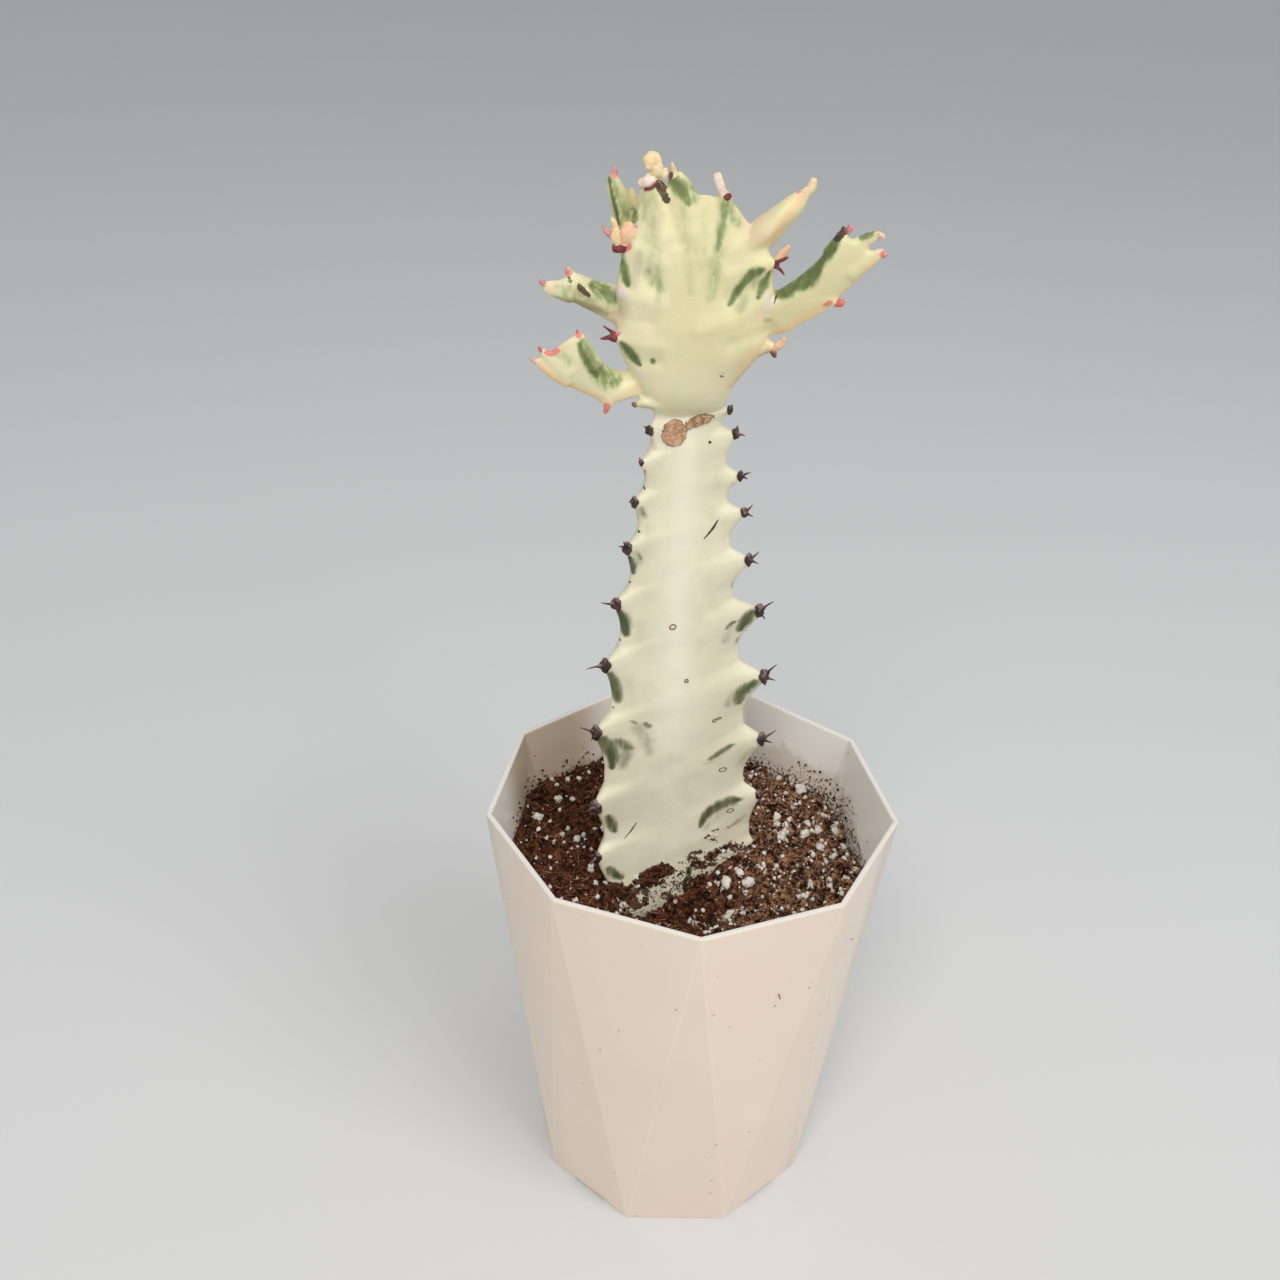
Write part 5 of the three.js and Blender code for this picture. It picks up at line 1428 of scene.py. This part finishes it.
class EUPHORBIA_OT_pot(bpy.types.Operator):
    """Flat triangles pointing up and down, a thin rim, an open inside, a foot band, drain holes"""

    bl_idname = "euphorbia.pot"
    bl_label = "Faceted pot"

    def execute(self, context):
        pot = context.scene.euphorbia_pot
        axis = (0, AXIS_SHIFT * MM, 0)
        turn = {"value": HALF_SIDE, "orient_axis": "Z", "center_override": axis}
        clear_selection()
        bpy.ops.mesh.primitive_cylinder_add(
            vertices=POT_SIDES, radius=pot.rim_radius, depth=pot.height, end_fill_type="NGON",
            location=(0, axis[1], pot.height / 2))
        piece = named(context.object, "faceted_pot")
        bpy.ops.object.transform_apply(location=True, rotation=False, scale=False)
        edit(piece)
        bpy.ops.transform.rotate(**turn)
        choose(piece, "VERT", lambda v: v.co.z < pot.height / 2)
        bpy.ops.transform.rotate(**turn)
        share = pot.foot_radius / pot.rim_radius
        bpy.ops.transform.resize(value=(share, share, 1), center_override=axis)
        choose(piece, "FACE", lambda f: f.normal.z > 0.9)
        bpy.ops.mesh.inset(thickness=pot.wall)
        deep = pot.height - FLOOR_TOP * MM
        bpy.ops.mesh.extrude_region_move(TRANSFORM_OT_translate={"value": (0, 0, -deep)})
        inner_rim = pot.rim_radius - pot.wall / math.cos(HALF_SIDE)
        inner_foot = pot.foot_radius - pot.wall / math.cos(HALF_SIDE)
        inner_foot += (pot.rim_radius - pot.foot_radius) * FLOOR_TOP * MM / pot.height
        bpy.ops.transform.rotate(**turn)
        share = inner_foot / inner_rim
        bpy.ops.transform.resize(value=(share, share, 1), center_override=axis)
        choose(piece, "FACE", lambda f: f.normal.z < -0.9)
        bpy.ops.mesh.inset(thickness=FOOT_BAND * MM)
        bpy.ops.mesh.extrude_region_move(TRANSFORM_OT_translate={"value": (0, 0, FOOT_RECESS * MM)})
        choose(piece, "FACE", lambda f: len(f.verts) == 4 and abs(f.normal.z) < 0.9)
        bpy.ops.mesh.quads_convert_to_tris(quad_method="SHORTEST_DIAGONAL")
        leave_edit()
        piece.data.materials.append(pot_material("moulded_plastic"))
        # The rounded creases get the lighter copy of the plastic, a painted highlight.
        piece.data.materials.append(pot_material("plastic_crease", 1.035))
        apply_modifier(piece, "BEVEL", width=pot.edge, segments=2, limit_method="ANGLE",
                       angle_limit=math.radians(CREASE_DEGREES), use_clamp_overlap=True, material=1)
        cutters = []
        round_floor = np.arange(DRAIN_HOLES) * 2 * math.pi / DRAIN_HOLES
        holes = [(DRAIN_RING * math.cos(a), DRAIN_RING * math.sin(a)) for a in round_floor]
        for x, y in [(0, 0), *holes]:
            clear_selection()
            bpy.ops.mesh.primitive_cylinder_add(
                vertices=32, radius=DRAIN_RADIUS * MM, depth=DRAIN_DEPTH * MM,
                location=in_metres((x, y, DRAIN_DEPTH / 4))[0])
            cutters.append(context.object)
        for side in NOTCHED_SIDES:
            angle = side * 2 * HALF_SIDE - math.pi / 2
            x, y = NOTCH_REACH * math.cos(angle), NOTCH_REACH * math.sin(angle)
            clear_selection()
            bpy.ops.mesh.primitive_cube_add(size=1, location=in_metres((x, y, 0))[0],
                                            rotation=(0, 0, angle))
            context.object.scale = [size * MM for size in NOTCH_SIZE]
            cutters.append(context.object)
        only(*cutters)
        bpy.ops.object.transform_apply(location=True, rotation=True, scale=True)
        cutter = fused("foot_cutter", cutters)
        apply_modifier(piece, "BOOLEAN", operation="DIFFERENCE", object=cutter, solver="EXACT")
        bpy.data.objects.remove(cutter)
        dress(piece, nodes=["pot"], angle=14)
        return {"FINISHED"}


class EUPHORBIA_OT_soil(bpy.types.Operator):
    """Potting mix that fills the pot, with a lumpy top and a dip in front of the stem"""

    bl_idname = "euphorbia.soil"
    bl_label = "Potting mix"

    def execute(self, context):
        soil = context.scene.euphorbia_soil
        sectors = 2 * POT_SIDES
        clear_selection()
        bpy.ops.mesh.primitive_circle_add(vertices=sectors, radius=1, fill_type="TRIFAN")
        piece = named(context.object, "potting_mix")
        edit(piece)
        bpy.ops.mesh.subdivide(number_cuts=SOIL_CUTS)
        leave_edit()
        co = coordinates(piece)
        angle = np.arctan2(co[:, 1], co[:, 0])
        turn = (angle - math.pi / 2) % (2 * math.pi)
        sector = np.floor(turn / HALF_SIDE + 1e-9).astype(int) % sectors
        apothem = math.cos(HALF_SIDE / 2)
        middle = math.pi / 2 + (sector + 0.5) * HALF_SIDE
        out = (co[:, 0] * np.cos(middle) + co[:, 1] * np.sin(middle)) / apothem
        out = np.clip(out, 0, 1)
        x, y = np.cos(angle), np.sin(angle)
        gap = WALL_INSET + SOIL_GAP
        edge = wall_distance(x, y, np.full(len(x), SOIL_LEVEL), gap)
        height = soil_height(x * edge * out, y * edge * out)
        edge = wall_distance(x, y, height, gap)
        points = np.column_stack([x * edge * out, y * edge * out, height])
        points[np.hypot(co[:, 0], co[:, 1]) < 1e-6] = (0, 0, soil_height(0.0, 0.0))
        set_coordinates(piece, in_metres(points))
        before = coordinates(piece)
        roughen(piece, 0.0042, soil.relief, depth=3)
        roughen(piece, 0.0013, soil.relief * 0.5, shift=1.3)
        after = coordinates(piece)
        fade = 1 - smoothly(0.93, 1, out)[:, None]
        set_coordinates(piece, before + (after - before) * fade)
        edit(piece)
        choose(piece, "EDGE", lambda e: len(e.link_faces) == 1)
        bpy.ops.mesh.extrude_edges_move(TRANSFORM_OT_translate={"value": (0, 0, -0.02)})
        bpy.ops.mesh.edge_face_add()
        leave_edit()
        co = in_millimetres(piece)
        low = np.arange(len(points), len(co))
        floor = FLOOR_TOP + SOIL_GAP
        reach = wall_distance(co[low, 0], co[low, 1], np.full(len(low), floor), gap)
        co[low, :2] *= (reach / np.hypot(co[low, 0], co[low, 1]))[:, None]
        co[low, 2] = floor
        set_coordinates(piece, in_metres(co))
        face_outwards(piece)
        dress(piece, soil_material("potting_mix", soil.dark, soil.light), ["soil"])
        return {"FINISHED"}


class EUPHORBIA_OT_stem(bpy.types.Operator):
    """The old three-ribbed stem with its horn-shaped teeth, its corky scar and its buried foot"""

    bl_idname = "euphorbia.stem"
    bl_label = "Old stem"

    def execute(self, context):
        plant = context.scene.euphorbia_plant
        heights, reaches = stem_rows()
        edges, ways = rib_rows(heights)
        bulge = along(FACE_BULGE, heights[0])[:, 0]
        piece = three_sided("old_stem", edges, ways * reaches[:, :, None], bulge, 60)
        apply_modifier(piece, "SMOOTH", factor=0.5, iterations=2)
        roughen(piece, 0.011, 0.0006, depth=1)
        co = in_millimetres(piece)
        facing = smoothly(0.0, -0.5, normals(piece)[:, 1])
        sides = [np.abs((co[:, i] - middle) / size) ** SCAR_POWER
                 for i, middle, size in zip((0, 2), SCAR_AT, SCAR_SIZE)]
        disc = (sides[0] + sides[1]) ** (1 / SCAR_POWER)
        run = co[:, 0] - STRIP_AT[0]
        rise = co[:, 2] - STRIP_AT[1] - STRIP_RISE * run
        strip = np.hypot(run / STRIP_SIZE[0], rise / (STRIP_SIZE[1] - STRIP_TAPER * run))
        on_strip = 1 - smoothly(0.6, 1.1, strip)
        scar = np.maximum(1 - smoothly(0.92, 1.05, disc), on_strip) * facing
        rings = 0.1 * np.cos(disc * 16) * (1 - smoothly(0.8, 0.95, disc))
        rng = np.random.default_rng(SEED)
        grains = rng.normal(size=len(co)) * 0.14 * on_strip
        lip = np.exp(-(((disc - 0.92) / 0.1) ** 2)) * 0.22
        push_out(piece, scar * 0.25 + (lip + rings + grains) * facing)
        marks = []
        edge_at, way_at = rib_rows([np.asarray(RIBS[2]["heights"], float)] * 3)
        for edge, way, reach in zip(edge_at[2], way_at[2], RIBS[2]["reach"]):
            under = edge + way * reach * 0.4 - (0, 0, 2.2 + reach * 0.5)
            marks.append(("green", under, 2.6, 1.4, 90, 0.95))
            marks.append(("grey", under + (rng.uniform(-3, 3), -3, -1), 3.4, 2.4, 90, 0.7))
        for _ in range(16):
            height = rng.uniform(105, 210)
            r = rng.integers(2)
            edge_at = rib_rows([np.array([height])] * 3)[0]
            share = rng.uniform(0.25, 0.75)
            middle = edge_at[2][0] * share + edge_at[r][0] * (1 - share)
            kind = "grey" if rng.random() < 0.7 else "green"
            long, wide, tilt = rng.uniform(1.5, 4), rng.uniform(0.8, 2.4), rng.uniform(30, 150)
            marks.append((kind, middle, long, wide, tilt, 0.8))
        under = co[:, 2] - 0.06 * co[:, 0]
        front = smoothly(6, 1, co[:, 1])
        left, right = [along([(z, x) for z, x, _ in rib["edge"]], co[:, 2])[:, 0]
                       for rib in RIBS[:2]]
        middle = (co[:, 0] - left) / (right - left) - 0.48
        cork = np.maximum(np.clip(1 - 0.64 * disc ** 2, 0, 1), 0.47 * on_strip + 0.6 * grains)
        dirt = np.maximum(smoothly(101, 96, under) * 0.3, smoothly(90, 86, under) * 0.6)
        # Painted highlight down the middle of the stem's face, and painted light over the lower stem
        # where the pot's wall shades it.
        pale = np.maximum(np.exp(-((middle / 0.16) ** 2)), smoothly(135, 112, under) * 0.7)
        # Painted shade: the grey low on the front of the foot darkens its undercut.
        paint(piece, marks, {"cork": cork * facing, "dirt": dirt * front, "pale": pale * facing,
                             "grey": smoothly(99, 94, under) * 0.3 * front})
        skin = skin_material("old_skin", plant.old_skin, plant.old_shade, plant.grey_green,
                             plant.old_green, 0.72)
        dress(piece, skin, ["main_stem"])
        return {"FINISHED"}


class EUPHORBIA_OT_head(bpy.types.Operator):
    """The head with its horns and five branches, grown together under one young skin"""

    bl_idname = "euphorbia.head"
    bl_label = "Head and branches"

    def execute(self, context):
        plant = context.scene.euphorbia_plant
        heights = [np.linspace(rib["top"], HEAD_FOOT, HEAD_ROWS + 1) for rib in RIBS]
        edges = rib_rows(heights)[0]
        bulge = along(FACE_BULGE, heights[0])[:, 0]
        parts = [three_sided("head_core", edges, np.zeros_like(edges), bulge, 24)]
        shares = np.linspace(1, 0, BRANCH_ROWS + 1)
        for name, branch in BRANCHES.items():
            corners = np.stack([through(edge, shares) for edge in branch["edges"]])
            bulge = np.full(len(shares), branch["bulge"])
            parts.append(three_sided(name + "_form", corners, np.zeros_like(corners), bulge, 14))
        for number, points in enumerate(HORNS):
            parts.append(limb(f"horn_{number}", points, 14, 14))
        piece = fused("head_and_branches", parts)
        apply_modifier(piece, "REMESH", mode="VOXEL", voxel_size=plant.cell, adaptivity=0.0)
        apply_modifier(piece, "SMOOTH", factor=0.5, iterations=7)
        roughen(piece, 0.009, 0.0003, depth=1)
        co = in_millimetres(piece)
        facing = normals(piece)[:, 1]
        lift = np.zeros(len(co))
        for height, width, points in RELIEF:
            line = through(points, np.linspace(0, 1, 17))
            far = np.sqrt(((co[:, None] - line[None]) ** 2).sum(axis=2)).min(axis=1)
            lift += height * np.exp(-((far / width) ** 2))
        lift *= smoothly(0.3, -0.1, facing) * 0.8
        push_out(piece, lift)
        rng = np.random.default_rng(SEED + 1)
        marks = []
        for _ in range(14):
            kind = "green" if rng.random() < 0.5 else "grey"
            place = (rng.uniform(-18, 6), rng.uniform(8, 16), rng.uniform(226, 262))
            long, wide, tilt = rng.uniform(1.5, 4.5), rng.uniform(0.8, 1.8), rng.uniform(50, 130)
            marks.append((kind, place, long, wide, tilt, 0.9))
        # Paler towards the bottom and on the left side below the top; the faces turned back get a
        # faint grey-green, a painted shade.
        beside = smoothly(-9, -16, co[:, 0]) * smoothly(265, 258, co[:, 2])
        low = np.maximum(smoothly(243, 228, co[:, 2]), beside)
        paint(piece, marks, {"grey": smoothly(0.1, 0.6, facing) * 0.15, "pale": low * 0.45})
        skin = skin_material("young_skin", plant.young_skin, plant.young_shade, plant.pale_green,
                             plant.leaf_green, 0.45)
        dress(piece, skin, ["main_stem", *BRANCHES])
        return {"FINISHED"}


class EUPHORBIA_OT_knobs(bpy.types.Operator):
    """A hard dark knob on every old tooth, and the thorns that stand on it"""

    bl_idname = "euphorbia.knobs"
    bl_label = "Knobs and thorns"

    def execute(self, context):
        rng = np.random.default_rng(SEED + 2)
        shapes = lump_shapes("knob", 5, 3, 0.8, 1.15, (0.85, 1.05, 1.25))
        stem = bpy.data.objects["old_stem"]
        places, sizes, turns, thorns = [], [], [], []
        for place, way, size, r, k in knob_seats():
            side = np.cross((0, 0, 1), way)
            side /= np.linalg.norm(side)
            turns.append(np.stack([way, side, np.cross(way, side)], axis=1))
            tip = Vector(in_metres(place + way * 0.6 + (0, 0, 0.1))[0])
            place = from_metres(stem.closest_point_on_mesh(tip)[1]) - way * 0.1
            places.append(in_metres(place)[0])
            sizes.append(size * MM * rng.uniform(0.95, 1.05))
            for tilt, reach in THORNS[r][k]:
                length = reach + 0.7 * size
                angle = math.radians(tilt)
                ahead = way * math.cos(angle) + np.array((0, 0, math.sin(angle)))
                ahead = ahead + side * rng.uniform(-0.3, 0.3)
                ahead /= np.linalg.norm(ahead)
                bend = np.array((0, 0, rng.uniform(-0.06, 0.06) * length))
                foot = 0.6 * size
                stops = [(place - way * 0.4, 0.8 * size), (place + ahead * foot, 0.6 * size)]
                for share, thick in ((0.3, 0.3), (0.7, 0.17)):
                    far = foot + share * (length - foot)
                    stops.append((place + ahead * far + bend, thick))
                stops.append((place + ahead * length, 0.07))
                thorns.append(limb("thorn", [(*p, t, t) for p, t in stops], 9, 10, blunt=0.8))
        knobs = scattered("knobs", shapes, np.array(places), np.array(sizes), np.array(turns), rng)
        piece = fused("knobs_and_thorns", [knobs, *thorns])
        # The paler top colour lays a painted highlight on the upper sides of the knobs and thorns.
        horn = flesh_material("old_horn", (0.022, 0.009, 0.008), (0.085, 0.04, 0.036), 1.1, 0.36,
                              0.5, (0.27, 0.165, 0.15))
        dress(piece, horn)
        return {"FINISHED"}


class EUPHORBIA_OT_buds(bpy.types.Operator):
    """Small leaflets, lobes, buds and young thorns on the teeth of the head"""

    bl_idname = "euphorbia.buds"
    bl_label = "Buds and leaflets"

    tones = {
        "butter": ((0.88, 0.72, 0.43), (0.82, 0.58, 0.29)),
        "cream": ((0.86, 0.72, 0.44), (0.80, 0.56, 0.33)),
        "petal": ((0.90, 0.75, 0.62), (0.86, 0.60, 0.48)),
        "blush": ((0.84, 0.60, 0.48), (0.62, 0.33, 0.26)),
        "peach": ((0.86, 0.56, 0.35), (0.80, 0.45, 0.28)),
        "rose": ((0.74, 0.33, 0.33), (0.55, 0.14, 0.15)),
        "coral": ((0.74, 0.20, 0.15), (0.62, 0.12, 0.10)),
        "garnet": ((0.13, 0.022, 0.025), (0.30, 0.055, 0.06)),
        "thorn": ((0.10, 0.045, 0.035), (0.33, 0.17, 0.12)),
        "bark": ((0.10, 0.065, 0.02), (0.22, 0.15, 0.05)),
    }

    def execute(self, context):
        for tone, (light, dark) in self.tones.items():
            parts = []
            for points in BUDS[tone]:
                if len(points) == 2:
                    middle = [(a + b) / 2 * (1.05 if i > 2 else 1)
                              for i, (a, b) in enumerate(zip(*points))]
                    points = (points[0], middle, points[1])
                parts.append(limb("bud_" + tone, points, 16, 10))
            piece = fused("buds_" + tone, parts)
            roughen(piece, 0.0009, 0.00028)
            dress(piece, flesh_material("bud_" + tone, light, dark, 1.4))
        return {"FINISHED"}


class EUPHORBIA_OT_scars(bpy.types.Operator):
    """Small brown rings that old buds left on the stem, and thin dark cracks in its skin"""

    bl_idname = "euphorbia.scars"
    bl_label = "Rings and cracks"

    def execute(self, context):
        stem = bpy.data.objects["old_stem"]
        rings = []
        for place, wide, tall in RING_SCARS:
            _, at, normal, _ = stem.closest_point_on_mesh(Vector(in_metres(place)[0]))
            clear_selection()
            bpy.ops.mesh.primitive_torus_add(
                major_segments=28, minor_segments=8, major_radius=wide * MM,
                minor_radius=RING_THICKNESS * MM, location=at)
            ring = context.object
            ring.scale = (1, tall / wide, 1)
            ring.rotation_euler = normal.to_track_quat("Z", "Y").to_euler()
            bpy.ops.object.transform_apply(location=True, rotation=True, scale=True)
            rings.append(ring)
        piece = fused("ring_scars", rings)
        roughen(piece, 0.0005, 0.00012, depth=1)
        tissue = flesh_material("scar_tissue", (0.17, 0.08, 0.045), (0.32, 0.18, 0.1), 0.8, 0.7,
                                0.3)
        dress(piece, tissue)
        strips = []
        for points in CRACKS:
            seated = [(*from_metres(from_front(stem, x, z)), wide, CRACK_DEPTH)
                      for x, z, wide in through(points, np.linspace(0, 1, 9))]
            strips.append(limb("crack", seated, 8, 24, blunt=0.2))
        piece = fused("cracks", strips)
        crack = flesh_material("crack", (0.035, 0.043, 0.025), (0.085, 0.105, 0.06), 0.8, 0.8, 0.2)
        dress(piece, crack)
        return {"FINISHED"}


def strand(rng):
    """One coir fibre a unit long: a thin three-sided strip with its own bend and pointed ends."""
    bend = rng.uniform(-0.16, 0.16, 2)
    path = [(x, *(b * (1 - 4 * x * x) for b in bend)) for x in (-0.5, -0.17, 0.17, 0.5)]
    ring = [(0, 0.04 * math.cos(a), 0.04 * math.sin(a)) for a in (0, 2.1, 4.2)]
    points = [tuple(p[i] + q[i] * (0.5 if j in (0, 3) else 1) for i in range(3))
              for j, p in enumerate(path) for q in ring]
    faces = [(0, 1, 2), (11, 10, 9)]
    for j in range(3):
        for side in range(3):
            a, b = 3 * j + side, 3 * j + (side + 1) % 3
            faces += [(a, a + 3, b), (b, a + 3, b + 3)]
    return mesh_piece("strand", points, faces)


class EUPHORBIA_OT_crumbs(bpy.types.Operator):
    """Loose crumbs and coir fibres on the soil, on the stem's foot and up the pot's wall"""

    bl_idname = "euphorbia.crumbs"
    bl_label = "Crumbs and fibres"

    def execute(self, context):
        soil = context.scene.euphorbia_soil
        rng = np.random.default_rng(SEED + 3)
        spots = soil_spots(rng, soil.crumbs)
        sizes = 0.22 + 1.25 * rng.random(soil.crumbs) ** 3.4
        angle = rng.choice(SPLASHES, WALL_CRUMBS) + rng.normal(size=WALL_CRUMBS) * 0.16
        height = SOIL_LEVEL + 0.5 + 8 * rng.random(WALL_CRUMBS) ** 1.8
        far = wall_distance(np.cos(angle), np.sin(angle), height, WALL_INSET + 0.12)
        stuck = in_metres(np.column_stack([far * np.cos(angle), far * np.sin(angle), height]))
        stem = bpy.data.objects["old_stem"]
        number, place = next((n, kinds.index("dirt")) for n, kinds in enumerate(CHANNELS)
                             if "dirt" in kinds)
        read = np.empty(len(stem.data.vertices) * 4, np.float32)
        stem.data.attributes[f"marks_{number}"].data.foreach_get("color", read)
        above = coordinates(stem)[:, 2] > BURIED_TO * MM
        dirt = read.reshape(-1, 4)[:, place] * above
        chosen = rng.choice(len(dirt), FOOT_CRUMBS, replace=False, p=dirt / dirt.sum())
        foot = coordinates(stem)[chosen]
        clods, clod_sizes = [], []
        for x, z, spread, count, largest in CLODS:
            for _ in range(count):
                x_there, z_there = x + rng.normal() * spread, z + rng.normal() * spread * 0.6
                at = from_front(stem, x_there, z_there)
                if at is not None:
                    clods.append(at - Vector((0, rng.uniform(0, 0.25) * spread * MM, 0)))
                    clod_sizes.append(largest * (0.3 + 0.7 * rng.random() ** 2))
        places = np.concatenate([spots, stuck, foot, clods])
        sizes = np.concatenate([
            sizes, 0.14 + 0.34 * rng.random(WALL_CRUMBS) ** 2,
            0.12 + 0.25 * rng.random(FOOT_CRUMBS) ** 2, clod_sizes]) * MM
        shapes = lump_shapes("crumb", 6, 1, 0.9, 1.1)
        crumbs = scattered("crumbs", shapes, places, sizes, turned(len(places), rng), rng)
        earth = soil_material("crumbs", (0.018, 0.007, 0.0045), (0.2, 0.078, 0.037), 1.1)
        dress(crumbs, earth, smooth=False)
        strands = [strand(rng) for _ in range(6)]
        spots = soil_spots(rng, soil.fibres)
        spots[:, 2] += rng.uniform(0, 0.0005, len(spots))
        lengths = (1.6 + 5 * rng.random(soil.fibres) ** 2) * MM
        turns = turned(soil.fibres, rng, 0.45)
        fibres = scattered("coir_fibres", strands, spots, lengths, turns, rng)
        face_outwards(fibres)
        dress(fibres, soil_material("coir", (0.07, 0.026, 0.012), (0.46, 0.22, 0.115), 3))
        return {"FINISHED"}


class EUPHORBIA_OT_perlite(bpy.types.Operator):
    """White perlite: the larger grains in their places and small ones strewn between them"""

    bl_idname = "euphorbia.perlite"
    bl_label = "Perlite"

    def execute(self, context):
        soil = context.scene.euphorbia_soil
        rng = np.random.default_rng(SEED + 4)
        large = np.array(PERLITE)
        spots = on_soil(large[:, 0], large[:, 1])
        spots[:, 2] += large[:, 2] * 0.45 * MM
        stem = bpy.data.objects["old_stem"]
        stuck = [from_front(stem, x, z) for x, z, _ in FOOT_GRAINS]
        spots = np.concatenate([spots, stuck])
        radii = np.concatenate([large[:, 2], [radius for _, _, radius in FOOT_GRAINS]]) * MM
        shapes = lump_shapes("grain", 7, 3, 0.75, -1.5, (1.1, 0.85, 0.85), "VORONOI_F1")
        grains = scattered("perlite", shapes, spots, radii, turned(len(spots), rng), rng)
        small = soil_spots(rng, 2 * soil.specks)
        small = small[rng.random(len(small)) < 0.34 + 0.5 * (small[:, 0] > 0.004)]
        sizes = (0.16 + 0.62 * rng.random(len(small)) ** 2.5) * MM
        small[:, 2] += sizes * 0.5
        shapes = lump_shapes("speck", 5, 1, 0.8, 0.9)
        specks = scattered("small_perlite", shapes, small, sizes, turned(len(small), rng), rng)
        finish = perlite_material()
        dress(grains, finish)
        dress(specks, finish, smooth=False)
        return {"FINISHED"}


class EUPHORBIA_OT_stage(bpy.types.Operator):
    """Plain pale floor, soft studio light and the camera"""

    bl_idname = "euphorbia.stage"
    bl_label = "Floor, light and camera"

    def execute(self, context):
        stage = context.scene.euphorbia_stage
        clear_selection()
        bpy.ops.mesh.primitive_plane_add(size=FLOOR_SIZE, location=(0, 0, 0))
        floor = named(context.object, "floor")
        bpy.ops.object.transform_apply(location=True, rotation=False, scale=False)
        new, tree, shader = material("floor")
        tone = clouds(tree, places_node(tree), 300, 2)
        colour = mixed(tree, tone, stage.floor, [c * 0.97 for c in stage.floor])
        tree.links.new(colour, shader.inputs["Base Color"])
        shader.inputs["Roughness"].default_value = 0.85
        shader.inputs["Specular IOR Level"].default_value = 0.2
        floor.data.materials.append(new)
        target = Vector(LIGHT_TARGET)
        lights = (
            ("key", (-0.24, -0.86, 1.18), 0.45, stage.key, (1.0, 0.975, 0.94)),
            ("top", (0.08, -0.2, 1.3), 0.4, stage.key * 0.16, (1.0, 0.98, 0.96)),
            ("fill", (0.69, -0.72, 1.08), 0.75, stage.fill, (0.99, 0.98, 0.99)),
        )
        for name, place, size, power, colour in lights:
            bpy.ops.object.light_add(type="AREA", location=place)
            light = named(context.object, name)
            light.data.size = size
            light.data.energy = power
            light.data.color = colour
            light.rotation_euler = (target - Vector(place)).to_track_quat("-Z", "Y").to_euler()
        world = bpy.data.worlds.new("surroundings")
        world.use_nodes = True
        back = world.node_tree.nodes["Background"]
        back.inputs["Color"].default_value = (0.93, 0.96, 1.0, 1)
        back.inputs["Strength"].default_value = stage.sky
        context.scene.world = world
        bpy.ops.object.camera_add(location=CAMERA_AT,
                                  rotation=[math.radians(a) for a in CAMERA_TURN])
        camera = named(context.object, "camera")
        camera.data.sensor_width = SENSOR_WIDTH
        camera.data.lens = LENS
        camera.data.clip_start = 0.01
        context.scene.camera = camera
        context.scene.view_settings.view_transform = "Standard"
        clear_selection()
        return {"FINISHED"}


OPERATORS = (
    EUPHORBIA_OT_stage, EUPHORBIA_OT_pot, EUPHORBIA_OT_soil, EUPHORBIA_OT_stem,
    EUPHORBIA_OT_head, EUPHORBIA_OT_knobs, EUPHORBIA_OT_buds, EUPHORBIA_OT_scars,
    EUPHORBIA_OT_crumbs, EUPHORBIA_OT_perlite,
)
SETTINGS = {
    "euphorbia_pot": EuphorbiaPotSettings,
    "euphorbia_soil": EuphorbiaSoilSettings,
    "euphorbia_plant": EuphorbiaPlantSettings,
    "euphorbia_stage": EuphorbiaStageSettings,
}


class EUPHORBIA_PT_panel(bpy.types.Panel):
    """Settings and steps of the potted euphorbia"""

    bl_idname = "EUPHORBIA_PT_panel"
    bl_label = "Potted ghost euphorbia"
    bl_space_type = "VIEW_3D"
    bl_region_type = "UI"
    bl_category = "Euphorbia"

    def draw(self, context):
        for name, settings in SETTINGS.items():
            box = self.layout.box()
            for key in settings.__annotations__:
                box.prop(getattr(context.scene, name), key)
        for step in OPERATORS:
            self.layout.operator(step.bl_idname)


def register():
    for kind in (*SETTINGS.values(), *OPERATORS, EUPHORBIA_PT_panel):
        bpy.utils.register_class(kind)
    for name, settings in SETTINGS.items():
        setattr(bpy.types.Scene, name, bpy.props.PointerProperty(type=settings))


def unregister():
    for name in SETTINGS:
        delattr(bpy.types.Scene, name)
    for kind in reversed((*SETTINGS.values(), *OPERATORS, EUPHORBIA_PT_panel)):
        bpy.utils.unregister_class(kind)


def main():
    register()
    for step in OPERATORS:
        getattr(bpy.ops.euphorbia, step.bl_idname.split(".")[1])()


if __name__ == "__main__":
    main()
